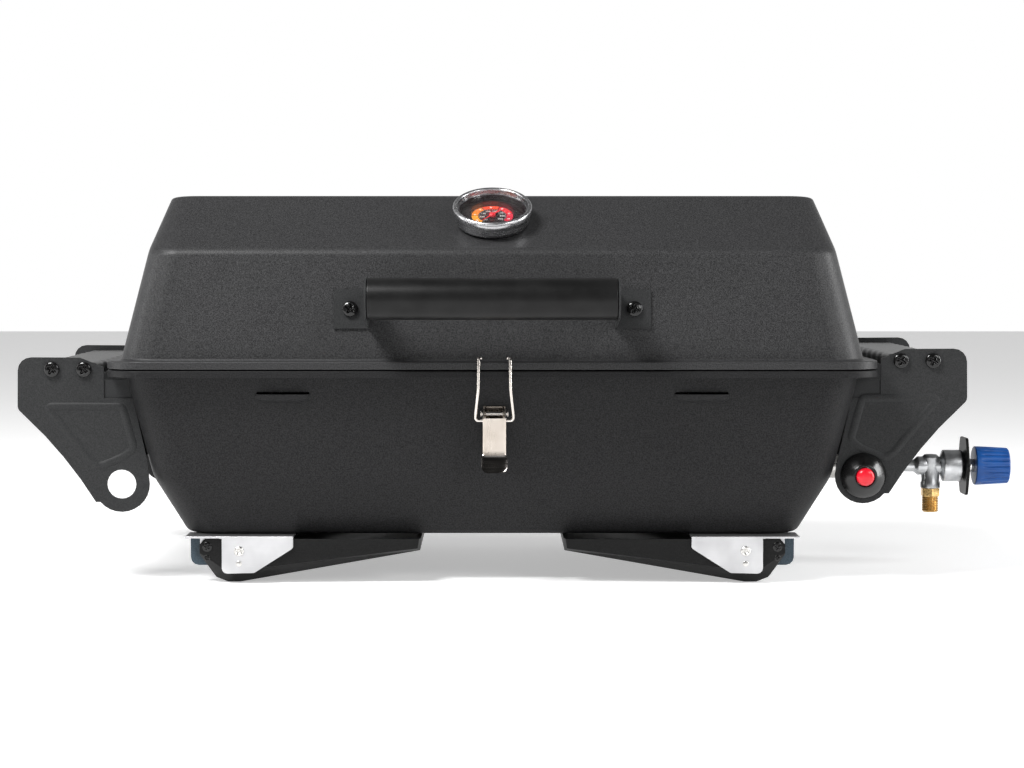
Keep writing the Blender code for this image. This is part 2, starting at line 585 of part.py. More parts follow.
# ---- igniter --------------------------------------------------------------------------------------
def make_igniter():
    origin = (LOBE_X, 0, IGNITER_Z)
    bezel_back = PLATE_Y + PLATE_THICK + GAP
    turned("igniter_housing", [
        (0.0072, 0.1385), (0.0088, 0.1385), (0.0150, 0.1318), (0.0172, 0.1290), (0.0172, bezel_back),
        (0.0100, bezel_back), (0.0100, 0.0850), (0.0, 0.0850), (0.0, 0.1130), (0.0072, 0.1130), (0.0072, 0.1385)],
        origin, (0, -1, 0), GRIP_BLACK, 24)
    turned("igniter_button", [(0.0, 0.1420), (0.0050, 0.1418), (0.0067, 0.1402), (0.0067, 0.1180), (0.0, 0.1180)],
           origin, (0, -1, 0), BUTTON_RED, 20)
    turned("igniter_electrode", [
        (0.0, 0.2680), (0.0030, 0.2680), (0.0030, 0.2300), (0.0010, 0.2290), (0.0010, 0.2150), (0.0, 0.2150)],
        (0, -0.022, 0.094), (1, 0, 0), CERAMIC, 12)


def smooth_path(points, steps):
    """A Catmull-Rom curve through the points."""
    knots = [Vector(p) for p in points]
    knots = [2 * knots[0] - knots[1], *knots, 2 * knots[-1] - knots[-2]]
    path = []
    for a, b, c, d in zip(knots, knots[1:], knots[2:], knots[3:]):
        for k in range(steps):
            t = k / steps
            path.append(0.5 * ((2 * b) + (c - a) * t + (2 * a - 5 * b + 4 * c - d) * t ** 2
                               + (3 * b - a - 3 * c + d) * t ** 3))
    return [*path, knots[-2]]


def wire(name, path, radius, paint, resolution=2):
    """A round wire or cable along a path."""
    curve = bpy.data.curves.new(name, "CURVE")
    curve.dimensions = "3D"
    curve.bevel_depth = radius
    curve.bevel_resolution = resolution
    curve.use_fill_caps = True
    line = curve.splines.new("POLY")
    line.points.add(len(path) - 1)
    for point, place_at in zip(line.points, path):
        point.co = (*place_at, 1)
    curve.materials.append(paint)
    return place(bpy.data.objects.new(name, curve))


IGNITER_WIRE_ROUTE = [(LOBE_X, -0.0846, IGNITER_Z), (0.2792, -0.0720, 0.0815), (0.2835, -0.0560, 0.0850),
                      (0.2850, -0.0400, 0.0895), (0.2815, -0.0275, 0.0930), (0.2745, -0.0225, 0.0940),
                      (0.2684, -0.0220, 0.0940)]


# ---- thermometer ----------------------------------------------------------------------------------
def make_thermometer():
    slope = math.atan2(LID_RIDGE_Z - LID_CREASE_Z, LID_CREASE_Y - LID_RIDGE_Y)
    up = (0, -math.sin(slope), math.cos(slope))
    origin = (0, DIAL_Y, DIAL_Z)
    turned("thermometer_case", [
        (0.0268, 0.0145), (0.0285, 0.0150), (0.0297, 0.0138), (0.0297, 0.0105), (0.0285, 0.0080), (0.0275, 0.0030),
        (0.0040, 0.0010), (0.0040, -0.0420), (0.0, -0.0420), (0.0, 0.0045), (0.0255, 0.0045), (0.0255, 0.0107),
        (0.0268, 0.0107), (0.0268, 0.0145)], origin, up, STEEL, 32)
    turned("thermometer_dial", [(0.0, 0.0056), (0.0251, 0.0056), (0.0251, 0.0049), (0.0, 0.0049)], origin, up,
           DIAL_FACE, 32)
    turned("thermometer_glass", [(0.0, 0.0121), (0.0264, 0.0121), (0.0264, 0.0110), (0.0, 0.0110)], origin, up,
           GLASS, 32)
    turned("thermometer_nut", [
        (0.0049, -0.0022), (0.0080, -0.0022), (0.0080, -0.0067), (0.0049, -0.0067), (0.0049, -0.0022)],
        origin, up, STEEL, 6)
    hub = turned("thermometer_needle", [(0.0, 0.0082), (0.0022, 0.0082), (0.0026, 0.0060), (0.0, 0.0060)], origin,
                 up, NEEDLE_RED, 16)
    blade = box("needle_blade", (-0.0006, -0.0065, 0.0065), (0.0006, 0.0165, 0.0072), title=CUTTERS)
    x_axis, y_axis, z_axis = Vector((1, 0, 0)), Vector((0, math.cos(slope), math.sin(slope))), Vector(up)
    frame = Matrix((x_axis, y_axis, z_axis)).transposed().to_4x4()
    blade.matrix_world = Matrix.Translation(origin) @ frame @ Matrix.Rotation(NEEDLE_TURN, 4, "Z")
    join(hub, blade)
    return origin, up


# ---- handle ---------------------------------------------------------------------------------------
def make_handle():
    turned("handle_tube", [
        (0.0128, HANDLE_HALF), (0.0146, HANDLE_HALF), (0.0151, HANDLE_HALF - 0.0005),
        (0.0151, 0.0005 - HANDLE_HALF), (0.0146, -HANDLE_HALF), (0.0128, -HANDLE_HALF), (0.0128, HANDLE_HALF)],
        (0, HANDLE_Y, HANDLE_Z), (1, 0, 0), GRIP_BLACK, 28)
    low, high, thick = 0.1920, 0.2206, 0.0015
    for side, word in ((-1, "left"), (1, "right")):
        name = f"handle_bracket_{word}"
        wall = [(-lid_wall_y(low) - GAP, low), (-lid_wall_y(high) - GAP, high),
                (-lid_wall_y(high) - GAP - thick, high), (-lid_wall_y(low) - GAP - thick, low)]
        near, far = sorted((side * 0.0900, side * 0.1167))
        made = plate(name, wall, far - near, "X", near, BRACKET_PAINT)
        nose = arc((HANDLE_Y, HANDLE_Z), HANDLE_RADIUS, 75, 265, 12)
        arm = [(-lid_wall_y(low) - GAP, low), (-lid_wall_y(high) - GAP, high), *nose]
        arm_at = 0.0900 if side > 0 else -0.0915
        join(made, plate(f"{name}_arm", arm, thick, "X", arm_at, title=CUTTERS))
        screw_z = 0.2062
        screw = Vector((side * 0.1046, -lid_wall_y(screw_z) - GAP - thick, screw_z))
        lean = (LID_WALL_Y - LID_CREASE_Y) / (LID_CREASE_Z - LID_RIM_Z)
        out = Vector((0, -1, lean)).normalized()
        drill(made, screw + out * 0.004, screw - out * 0.004, 0.0027)
        drill(LID, screw + out * 0.001, screw - out * 0.009, 0.0027)
        pan_screw(f"handle_screw_{word}", screw + out * GAP, out, 0.0080)


# ---- hinges ---------------------------------------------------------------------------------------
def make_hinge(side, word):
    """A butt hinge behind the rims: one leaf on each rim, side by side on one pin."""
    x = side * HINGE_X
    knuckle, bore = 0.0045, 0.0021
    for leaf, x_low, z_low, z_high in (("lower", x - 0.0150, 0.1500, 0.1612), ("upper", x + 0.0003, 0.1624, 0.1676)):
        name = f"hinge_leaf_{leaf}_{word}"
        made = box(name, (x_low, RIM_Y + GAP, z_low), (x_low + 0.0147, RIM_Y + GAP + 0.0015, z_high), BRACKET_PAINT)
        arm_z = (0.1575, 0.1602) if leaf == "lower" else (0.1628, 0.1655)
        join(made, box(f"{name}_arm", (x_low, RIM_Y + GAP + 0.0005, arm_z[0]), (x_low + 0.0147, HINGE_Y, arm_z[1]),
                       title=CUTTERS),
             rod(f"{name}_knuckle", (x_low, HINGE_Y, HINGE_Z), (x_low + 0.0147, HINGE_Y, HINGE_Z), knuckle, 16,
                 title=CUTTERS))
        drill(made, (x_low - 0.002, HINGE_Y, HINGE_Z), (x_low + 0.0167, HINGE_Y, HINGE_Z), bore)
    turned(f"hinge_pin_{word}", [(0.0, 0.0180), (0.0035, 0.0172), (0.0035, 0.0154), (0.0019, 0.0154),
                                 (0.0019, -0.0165), (0.0, -0.0165)], (x, HINGE_Y, HINGE_Z), (1, 0, 0), STEEL, 16)


# ---- draw latch -----------------------------------------------------------------------------------
def make_latch():
    thick = 0.0012
    pivot_y, pivot_z = LATCH_PIVOT
    wire_y, wire_z = BAIL_PIVOT
    foot = [(-box_wall_y(0.104) - GAP, 0.104), (-box_wall_y(0.1345) - GAP, 0.1345),
            (-box_wall_y(0.1345) - GAP - thick, 0.1345), (-box_wall_y(0.104) - GAP - thick, 0.104)]
    base = plate("latch_base", foot, 0.0160, "X", LATCH_X - 0.0080, NICKEL)
    ear = [(-box_wall_y(0.116) - GAP - thick / 2, 0.116), (-box_wall_y(0.1345) - GAP - thick / 2, 0.1345),
           *arc(LATCH_PIVOT, 0.0032, 80, 250, 8)]
    join(base, *(plate(f"latch_ear_{i}", ear, thick, "X", LATCH_X + at, title=CUTTERS)
                 for i, at in enumerate((0.0062, -0.0074))))
    drill(base, (LATCH_X - 0.012, pivot_y, pivot_z), (LATCH_X + 0.012, pivot_y, pivot_z), 0.0017, 12)
    turned("latch_pin", [(0.0, 0.0103), (0.0024, 0.0103), (0.0024, 0.0095), (0.0014, 0.0095), (0.0014, -0.0095),
                         (0.0024, -0.0095), (0.0024, -0.0103), (0.0, -0.0103)],
           (LATCH_X, pivot_y, pivot_z), (1, 0, 0), NICKEL, 12)
    face = [(-0.1668, 0.1265), (-0.1668, 0.0980), (-0.1722, 0.0865), (-0.1734, 0.0865), (-0.1680, 0.0983),
            (-0.1680, 0.1265)]
    lever = plate("latch_lever", face, 0.0183, "X", LATCH_X - 0.00915, NICKEL)
    cheek = [(-0.1674, 0.1040), (-0.1674, 0.1285), *arc(LATCH_PIVOT, 0.0034, 120, -60, 6), (-0.1600, 0.1180)]
    join(lever, *(plate(f"lever_cheek_{i}", cheek, thick, "X", LATCH_X + at, title=CUTTERS)
                  for i, at in enumerate((0.00795, -0.00915))))
    drill(lever, (LATCH_X - 0.012, pivot_y, pivot_z), (LATCH_X + 0.012, pivot_y, pivot_z), 0.0017, 12)
    drill(lever, (LATCH_X - 0.012, wire_y, wire_z), (LATCH_X + 0.012, wire_y, wire_z), 0.0015, 12)
    half = [(0.0095, -0.1672, 0.1702), (0.0113, -0.1680, 0.1703), (0.0116, -0.1712, 0.1703), (0.0116, -0.1729, 0.1688),
            (0.0116, -0.1730, 0.1620), (0.0118, -0.1728, 0.1480), (0.0128, -0.1705, 0.1385), (0.0138, -0.1672, 0.1300),
            (0.0140, -0.1650, 0.1262), (0.0128, wire_y, wire_z), (0.0110, wire_y, wire_z)]
    route = [(LATCH_X - x, y, z) for x, y, z in half] + [(LATCH_X + x, y, z) for x, y, z in reversed(half)]
    wire("latch_bail", route, 0.0012, NICKEL)


# ---- the whole grill ------------------------------------------------------------------------------
make_firebox()
LID = make_lid()
for grill_side in (-1, 1):
    for grill_end in (-1, 1):
        make_side_plate(grill_side, grill_end)
        make_leg_bracket(grill_side, grill_end)
        make_leg_pin(grill_side, grill_end)
    make_grip(grill_side)
    make_leg(grill_side)
    make_leg_stop(grill_side)
make_grip_screws()
make_grate()
make_burner()
make_heat_plate()
make_drip_tray()
make_valve()
make_igniter()
wire("igniter_wire", smooth_path(IGNITER_WIRE_ROUTE, 4), 0.0013, CABLE_BLACK)
stem_origin, stem_axis = make_thermometer()
drill(LID, Vector(stem_origin) + Vector(stem_axis) * 0.005, Vector(stem_origin) - Vector(stem_axis) * 0.008, 0.0044)
make_handle()
for grill_side, side_word in ((-1, "left"), (1, "right")):
    make_hinge(grill_side, side_word)
make_latch()

for piece in bpy.data.objects:
    piece.location += Vector(TO_FOOTPRINT_MIDDLE)
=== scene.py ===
# %% [markdown]
# # A portable tabletop gas grill
#
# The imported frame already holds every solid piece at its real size. This file gives those pieces their looks:
# pressed sheet with soft corners, fine-textured paint, brushed and plated steel, a printed dial and a moulded
# knob. Each step says what the piece is, how it could be made, and why this way was taken.

# %% Load the frame
import json
import math

import bmesh
import bpy
import numpy as np
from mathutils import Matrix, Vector


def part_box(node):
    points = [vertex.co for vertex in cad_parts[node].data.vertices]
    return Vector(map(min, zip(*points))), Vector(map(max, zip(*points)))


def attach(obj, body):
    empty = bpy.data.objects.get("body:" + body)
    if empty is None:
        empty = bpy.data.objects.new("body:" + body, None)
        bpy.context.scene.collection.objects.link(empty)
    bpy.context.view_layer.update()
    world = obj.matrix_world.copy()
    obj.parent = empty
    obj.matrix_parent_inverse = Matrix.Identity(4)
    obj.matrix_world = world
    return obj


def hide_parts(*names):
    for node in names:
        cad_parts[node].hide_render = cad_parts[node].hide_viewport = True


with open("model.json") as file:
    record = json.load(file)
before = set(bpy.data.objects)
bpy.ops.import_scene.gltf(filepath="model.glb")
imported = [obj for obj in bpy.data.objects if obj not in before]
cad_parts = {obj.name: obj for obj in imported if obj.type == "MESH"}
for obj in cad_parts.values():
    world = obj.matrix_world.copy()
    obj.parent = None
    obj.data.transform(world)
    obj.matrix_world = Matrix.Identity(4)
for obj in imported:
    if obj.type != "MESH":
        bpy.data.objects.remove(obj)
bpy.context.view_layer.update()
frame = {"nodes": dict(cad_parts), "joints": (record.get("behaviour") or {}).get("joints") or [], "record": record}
JOINTS = {joint["name"]: joint for joint in frame["joints"]}
SLOT_OF = {row["node"]: row["material_slot"] for row in frame["record"]["subparts"]}
box_low, box_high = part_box("firebox")
MIDDLE = np.array([(box_low.x + box_high.x) / 2, (box_low.y + box_high.y) / 2, 0.0])
SIDES = ((-1, "left"), (1, "right"))
ENDS = ((-1, "front"), (1, "rear"))
CORNERS = [(side, end, f"{side_name}_{end_name}") for side, side_name in SIDES for end, end_name in ENDS]


def span(node):
    """The lowest and highest corners of a frame node, measured from the firebox's middle."""
    low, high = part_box(node)
    return low - Vector(MIDDLE), high - Vector(MIDDLE)


def joint_place(name):
    """A joint's place, measured from the firebox's middle."""
    return np.array(JOINTS[name]["pos_m"]) - MIDDLE


# %% [markdown]
# ## The camera
#
# The grill is seen from straight ahead with a long lens, a little above the rims. A long lens keeps the sides
# nearly parallel. The small sideways shift keeps the grill's middle where it belongs in the picture.

# %% Camera
CAMERA_PLACE = (0.0, -1.96, 0.2455)
CAMERA_TILT = math.radians(87.0)
CAMERA_LENS = 86.13
CAMERA_SHIFT = 0.0192

camera_data = bpy.data.cameras.new("front_camera")
camera_data.lens = CAMERA_LENS
camera_data.sensor_width = 36.0
camera_data.shift_x = CAMERA_SHIFT
camera_data.clip_start = 0.02
camera = bpy.data.objects.new("front_camera", camera_data)
camera.location = Vector(CAMERA_PLACE) + Vector(MIDDLE)
camera.rotation_euler = (CAMERA_TILT, 0.0, 0.0)
bpy.context.scene.collection.objects.link(camera)
bpy.context.scene.camera = camera
print("camera lens", CAMERA_LENS, "mm")

# %% [markdown]
# ## Helpers for surfaces
#
# Nearly every piece is a grid of points worked out as whole arrays: rows run along a profile or a path, and
# columns run round it. One helper turns such a grid into quads, and one turns points and faces into a mesh
# whose faces point outwards. A grid is easy to change, because its formula is in one place.


# %% Grids into meshes
MERGE = 0.000004             # points closer than this become one
FULL_TURN = 2.0 * np.pi


def turns_round(count):
    """Angles that divide a full turn evenly, as a row."""
    return np.linspace(0.0, FULL_TURN, count, endpoint=False)[None, :]


def grid_faces(rows, columns, wrap_rows):
    """Quads between neighbouring points of a grid: (i, j), (i, j+1), (i+1, j+1), (i+1, j)."""
    index = np.arange(rows * columns).reshape(rows, columns)
    if wrap_rows:
        index = np.vstack([index, index[:1]])
    index = np.hstack([index, index[:, :1]])
    quads = [index[:-1, :-1], index[:-1, 1:], index[1:, 1:], index[1:, :-1]]
    return np.stack(quads, -1).reshape(-1, 4).tolist()


def finish_mesh(mesh, crease):
    """Merges doubles, turns faces outwards and marks edges sharper than the crease angle."""
    bm = bmesh.new()
    bm.from_mesh(mesh)
    bmesh.ops.remove_doubles(bm, verts=bm.verts, dist=MERGE)
    bmesh.ops.recalc_face_normals(bm, faces=bm.faces)
    if bm.calc_volume(signed=True) < 0:
        bmesh.ops.reverse_faces(bm, faces=bm.faces)
    bm.to_mesh(mesh)
    bm.free()
    mesh.shade_smooth()
    mesh.set_sharp_from_angle(angle=math.radians(crease))


def linked(name, data):
    """A new object at the origin, in the scene."""
    thing = bpy.data.objects.new(name, data)
    bpy.context.scene.collection.objects.link(thing)
    return thing


def new_piece(name, points, faces, crease=40):
    """A mesh object at the origin from points measured from the firebox's middle, and a list of faces."""
    mesh = bpy.data.meshes.new(name)
    mesh.from_pydata((np.asarray(points, float).reshape(-1, 3) + MIDDLE).tolist(), [], faces)
    finish_mesh(mesh, crease)
    return linked(name, mesh)


def skin(name, grid, crease=40, wrap_rows=False):
    """A closed skin over a grid: its columns close on themselves, and its end rows are capped."""
    rows, columns = grid.shape[:2]
    faces = grid_faces(rows, columns, wrap_rows)
    if not wrap_rows:
        faces.append(list(range(columns))[::-1])
        faces.append(list(range((rows - 1) * columns, rows * columns)))
    return new_piece(name, grid, faces, crease)


def joined(name, pieces):
    """Several pieces as one mesh."""
    bm = bmesh.new()
    for piece in pieces:
        bm.from_mesh(piece.data)
        bpy.data.objects.remove(piece)
    mesh = bpy.data.meshes.new(name)
    bm.to_mesh(mesh)
    bm.free()
    return linked(name, mesh)


def as_modified(piece):
    """The mesh of a piece after its modifiers, as plain mesh."""
    bpy.context.view_layer.update()
    return bpy.data.meshes.new_from_object(piece.evaluated_get(bpy.context.evaluated_depsgraph_get()))


print("surface helpers ready")


# %% [markdown]
# ## Helpers for turned pieces and tubes
#
# A screw, knob or bezel is a profile carried round an axis. A wire is a circle carried along a path. Both are
# the same idea: a two-dimensional curve, placed by a frame of three directions.


# %% Lathes and tubes
def axes_for(axis):
    """Two unit directions across an axis, and the axis itself, as rows."""
    along = np.asarray(axis, float) / np.linalg.norm(axis)
    helper = np.array([0.0, 0.0, 1.0]) if abs(along[2]) < 0.9 else np.array([0.0, 1.0, 0.0])
    across = np.cross(helper, along)
    across /= np.linalg.norm(across)
    return np.stack([across, np.cross(along, across), along])


def turned_points(radius, angle, height):
    """Point = (r cos a, r sin a, h), over any grid of r, a and h."""
    radius, angle, height = np.broadcast_arrays(radius, angle, height)
    return np.stack([radius * np.cos(angle), radius * np.sin(angle), height], -1)


def stood_on(local, origin, axis):
    """Point = origin + x across + y upward + z along the axis."""
    return np.asarray(origin, float) + local @ axes_for(axis)


def lathe(name, profile, origin, axis, sides=48, crease=40):
    """A turned piece. Its profile may close on itself as a ring, or run between two points on the axis."""
    closed = tuple(profile[0]) == tuple(profile[-1])
    profile = np.asarray(profile[:-1] if closed else profile, float)
    local = turned_points(profile[:, :1], turns_round(sides), profile[:, 1:])
    return skin(name, stood_on(local, origin, axis), crease, wrap_rows=closed)


NEARLY_HALF = 0.49           # the most of a side that one bend may take
TINY = 1e-9


def eased(corners, bends, steps=5):
    """A path through corners, each replaced by a parabola: (1-t)^2 before + 2t(1-t) corner + t^2 after."""
    corners = np.asarray(corners, float)
    t = np.linspace(0.0, 1.0, steps)[:, None]
    path = [corners[:1]]
    for before, here, after, bend in zip(corners, corners[1:], corners[2:], bends[1:]):
        sides = [(other - here, max(np.linalg.norm(other - here), TINY)) for other in (before, after)]
        first, last = (here + way * min(NEARLY_HALF, bend / length) for way, length in sides)
        path.append((1 - t) ** 2 * first + 2 * t * (1 - t) * here + t ** 2 * last)
    path.append(corners[-1:])
    return np.vstack(path)


STEADY = np.array([0.31, 0.17, 0.94])      # a direction that no wire or rod here follows


def tube(name, path, radius, sides):
    """A circle of the given radius carried along a path, in a plane across the path at each point."""
    path = np.asarray(path, float)
    along = np.gradient(path, axis=0)
    along /= np.linalg.norm(along, axis=1, keepdims=True)
    across = np.cross(along, STEADY)
    across /= np.linalg.norm(across, axis=1, keepdims=True)
    other = np.cross(along, across)
    angle = turns_round(sides)[..., None]
    grid = path[:, None] + radius * (np.cos(angle) * across[:, None] + np.sin(angle) * other[:, None])
    return skin(name, grid, 50)


print("lathe and tube helpers ready")


# %% [markdown]
# ## Helpers for pieces that keep the frame's own shape
#
# A folded bracket is already right in the frame, but its corners are knife-sharp. A copy of it, with doubles
# merged and a small bevel that follows the sheet's edge, catches the light as pressed steel does. A weighted
# normal keeps the flat faces flat beside the bevel.


# %% Softened copies, and mounting a piece
def weigh_normals(piece):
    """Keeps large faces flat where they meet small rounded ones."""
    weigh = piece.modifiers.new("flat_faces", "WEIGHTED_NORMAL")
    weigh.keep_sharp = True


BEVELLED_TURN = math.radians(28)      # an edge that turns more than this is rounded
CREASED_TURN = math.radians(40)       # and one that turns more than this is shaded sharp
FLAT_TURN = math.radians(1)           # faces that turn less than this become one


def round_edges(piece, width):
    """Rounds the sharper edges, then keeps the flats beside them flat."""
    bevel = piece.modifiers.new("rounded_edges", "BEVEL")
    bevel.width = width
    bevel.segments = 2
    bevel.limit_method = "ANGLE"
    bevel.angle_limit = BEVELLED_TURN
    bevel.use_clamp_overlap = True
    weigh_normals(piece)


def softened(node, edge):
    """A merged copy of a frame node with rounded edges."""
    mesh = frame["nodes"][node].data.copy()
    bm = bmesh.new()
    bm.from_mesh(mesh)
    bmesh.ops.remove_doubles(bm, verts=bm.verts, dist=MERGE)
    bmesh.ops.dissolve_limit(bm, angle_limit=FLAT_TURN, verts=bm.verts, edges=bm.edges)
    bm.to_mesh(mesh)
    bm.free()
    mesh.shade_smooth()
    mesh.set_sharp_from_angle(angle=CREASED_TURN)
    piece = linked(f"{node}_skin", mesh)
    if edge > 0:
        round_edges(piece, edge)
    return piece


def carve(piece, cutter):
    """Cuts a closed cutter out of a piece and keeps the result as plain mesh."""
    step = piece.modifiers.new("cut", "BOOLEAN")
    step.operation = "DIFFERENCE"
    step.object = cutter
    step.solver = "EXACT"
    mesh = as_modified(piece)
    piece.modifiers.remove(step)
    piece.data = mesh
    bpy.data.objects.remove(cutter)


def block(name, low, high):
    """A box between two corners, as a two-row skin."""
    (x0, y0, z0), (x1, y1, z1) = low, high
    loop = np.array([(x0, y0), (x1, y0), (x1, y1), (x0, y1)])
    grid = np.stack([np.column_stack([loop, np.full(4, z)]) for z in (z0, z1)])
    return skin(name, grid, 30)


def mount(piece, finish, body, *nodes, slot=None):
    """Gives a piece its finish, its body and the nodes it stands for. Its slot is not used."""
    piece.data.materials.clear()
    piece.data.materials.append(finish)
    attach(piece, body)
    if nodes:
        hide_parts(*nodes)


def keep(node, edge, finish, body="grill_base"):
    """Mounts a softened copy of a node in its place."""
    mount(softened(node, edge), finish, body, node)


print("mounting helpers ready")

# %% [markdown]
# ## Finishes
#
# Powder coat is a baked plastic skin: dark, slightly rough, with a fine pebble that throws tiny highlights.
# An image would have to be wrapped round each piece. Noise read from the piece's own coordinates needs no
# wrapping and keeps the same grain size everywhere, so all the finishes here are made that way.


# %% Node helpers
COAT_ROUGHNESS = 0.12
NOISE_MIDDLE = (0.3, 0.7)             # nearly all of a noise lies between these
TONE_MIDDLE = (0.35, 0.65)            # and its two tones meet between these


def start_finish(name, roughness, metallic=0.0, coat=0.0):
    """A material with its shader, and a list to hang the other nodes on."""
    finish = bpy.data.materials.new(name)
    finish.use_nodes = True
    shader = finish.node_tree.nodes["Principled BSDF"]
    shader.inputs["Roughness"].default_value = roughness
    shader.inputs["Metallic"].default_value = metallic
    if coat:
        shader.inputs["Coat Weight"].default_value = coat
        shader.inputs["Coat Roughness"].default_value = COAT_ROUGHNESS
    return finish, shader


def place_node(finish, stretch=(1.0, 1.0, 1.0)):
    """Object coordinates, stretched by a factor along each axis."""
    nodes, links = finish.node_tree.nodes, finish.node_tree.links
    coordinates = nodes.new("ShaderNodeTexCoord")
    mapping = nodes.new("ShaderNodeMapping")
    mapping.inputs["Scale"].default_value = stretch
    links.new(coordinates.outputs["Object"], mapping.inputs["Vector"])
    return mapping.outputs["Vector"]


def noise(finish, where, scale, detail=2.0):
    """Noise with so many cells to the metre."""
    node = finish.node_tree.nodes.new("ShaderNodeTexNoise")
    node.inputs["Scale"].default_value = scale
    node.inputs["Detail"].default_value = detail
    finish.node_tree.links.new(where, node.inputs["Vector"])
    return node.outputs["Fac"]


def map_range(tree, value, from_range, to_range, how="LINEAR"):
    """Carries a value from one range to another."""
    node = tree.nodes.new("ShaderNodeMapRange")
    node.interpolation_type = how
    for socket, number in zip(("From Min", "From Max", "To Min", "To Max"), (*from_range, *to_range)):
        node.inputs[socket].default_value = number
    tree.links.new(value, node.inputs["Value"])
    return node.outputs["Result"]


def two_tone(finish, shader, value, dark, light):
    """A colour that runs from dark to light as the value rises."""
    ramp = finish.node_tree.nodes.new("ShaderNodeValToRGB")
    for element, position, colour in zip(ramp.color_ramp.elements, TONE_MIDDLE, (dark, light)):
        element.position = position
        element.color = (*colour, 1.0)
    finish.node_tree.links.new(value, ramp.inputs["Fac"])
    finish.node_tree.links.new(ramp.outputs["Color"], shader.inputs["Base Color"])


def pebble(finish, shader, height, strength, distance):
    """Turns a height into a bump on the shader's normal."""
    bump = finish.node_tree.nodes.new("ShaderNodeBump")
    bump.inputs["Strength"].default_value = strength
    bump.inputs["Distance"].default_value = distance
    finish.node_tree.links.new(height, bump.inputs["Height"])
    finish.node_tree.links.new(bump.outputs["Normal"], shader.inputs["Normal"])


def rough_between(finish, shader, value, low, high):
    """Lets the roughness wander between two values as the noise does."""
    roughness = map_range(finish.node_tree, value, NOISE_MIDDLE, (low, high))
    finish.node_tree.links.new(roughness, shader.inputs["Roughness"])


print("node helpers ready")


# %% Paints, plastics and metals
def powder_coat(name, dark, light, roughness, grain=1100.0, strength=0.35, gloss=0.2):
    """Fine-textured paint: pebbles about a millimetre apart, with a few paler specks."""
    finish, shader = start_finish(name, roughness)
    shader.inputs["Specular IOR Level"].default_value = gloss
    where = place_node(finish)
    fine = noise(finish, where, grain, 3.0)
    broad = noise(finish, where, 22.0, 2.0)
    two_tone(finish, shader, fine, dark, light)
    rough_between(finish, shader, broad, roughness - 0.03, roughness + 0.03)
    pebble(finish, shader, fine, strength, 0.0003)
    return finish


def moulded(name, dark, light, roughness, coat=0.0, gloss=0.35):
    """Moulded plastic: a soft orange-peel skin and a slow drift of tone."""
    finish, shader = start_finish(name, roughness, 0.0, coat)
    shader.inputs["Specular IOR Level"].default_value = gloss
    where = place_node(finish)
    skin_noise = noise(finish, where, 700.0, 2.0)
    two_tone(finish, shader, noise(finish, where, 60.0, 2.0), dark, light)
    rough_between(finish, shader, skin_noise, roughness - 0.04, roughness + 0.04)
    pebble(finish, shader, skin_noise, 0.08, 0.0002)
    return finish


def brushed(name, dark, light, roughness, stretch=(30.0, 900.0, 900.0), strength=0.08):
    """Metal with fine lines along one axis, because noise squeezed across that axis turns into lines."""
    finish, shader = start_finish(name, roughness, 1.0)
    lines = noise(finish, place_node(finish, stretch), 1.0, 3.0)
    smears = noise(finish, place_node(finish), 45.0, 2.0)
    two_tone(finish, shader, smears, dark, light)
    rough_between(finish, shader, lines, roughness - 0.06, roughness + 0.08)
    pebble(finish, shader, lines, strength, 0.0001)
    return finish


def cast_metal(name, dark, light, roughness):
    """Die-cast or machined metal with a sandy skin."""
    finish, shader = start_finish(name, roughness, 1.0)
    where = place_node(finish)
    sand = noise(finish, where, 420.0, 3.0)
    two_tone(finish, shader, noise(finish, where, 90.0, 3.0), dark, light)
    rough_between(finish, shader, sand, roughness - 0.07, roughness + 0.07)
    pebble(finish, shader, sand, 0.18, 0.0002)
    return finish


LID_PAINT = powder_coat("lid_paint", (0.010, 0.010, 0.0105), (0.036, 0.036, 0.037), 0.46, gloss=0.25)
BOX_PAINT = powder_coat("firebox_paint", (0.006, 0.006, 0.0065), (0.019, 0.019, 0.0195), 0.50, gloss=0.13)
PLATE_PAINT = powder_coat("side_plate_paint", (0.018, 0.0185, 0.019), (0.030, 0.0305, 0.031), 0.46,
                          1400.0, 0.18, 0.12)
LEG_PAINT = powder_coat("leg_paint", (0.003, 0.003, 0.003), (0.008, 0.008, 0.008), 0.38, 1300.0, 0.12, 0.15)
GRIP_PLASTIC = moulded("grip_plastic", (0.004, 0.004, 0.004), (0.007, 0.007, 0.007), 0.36, gloss=0.2)
BEZEL_PLASTIC = moulded("igniter_plastic", (0.003, 0.003, 0.003), (0.006, 0.006, 0.006), 0.22, gloss=0.4)
KNOB_PLASTIC = moulded("knob_plastic", (0.004, 0.050, 0.210), (0.007, 0.075, 0.290), 0.34)
BUTTON_PLASTIC = moulded("button_plastic", (0.480, 0.004, 0.014), (0.640, 0.008, 0.022), 0.24, 0.3)
SCREW_BLACK = moulded("black_screw", (0.002, 0.002, 0.002), (0.004, 0.004, 0.004), 0.16, gloss=0.4)
BRACKET_STEEL = brushed("bracket_steel", (0.50, 0.50, 0.51), (0.62, 0.62, 0.63), 0.36)
BARE_STEEL = brushed("bare_steel", (0.52, 0.51, 0.49), (0.66, 0.65, 0.63), 0.28)
LATCH_NICKEL = brushed("latch_nickel", (0.60, 0.53, 0.46), (0.74, 0.67, 0.60), 0.30, (900.0, 900.0, 30.0))
# Painted shade: the flared tab is the lever's own nickel plate, given a much darker copy of that colour for the
# shade on it.
TAB_SHADE_NICKEL = brushed("latch_tab_painted_shade", (0.07, 0.066, 0.063), (0.12, 0.113, 0.107), 0.16)
BASE_NICKEL = brushed("latch_base_nickel", (0.16, 0.14, 0.12), (0.24, 0.21, 0.18), 0.24)
WIRE_NICKEL = brushed("wire_nickel", (0.54, 0.50, 0.46), (0.66, 0.62, 0.58), 0.22, (300.0,) * 3, 0.02)
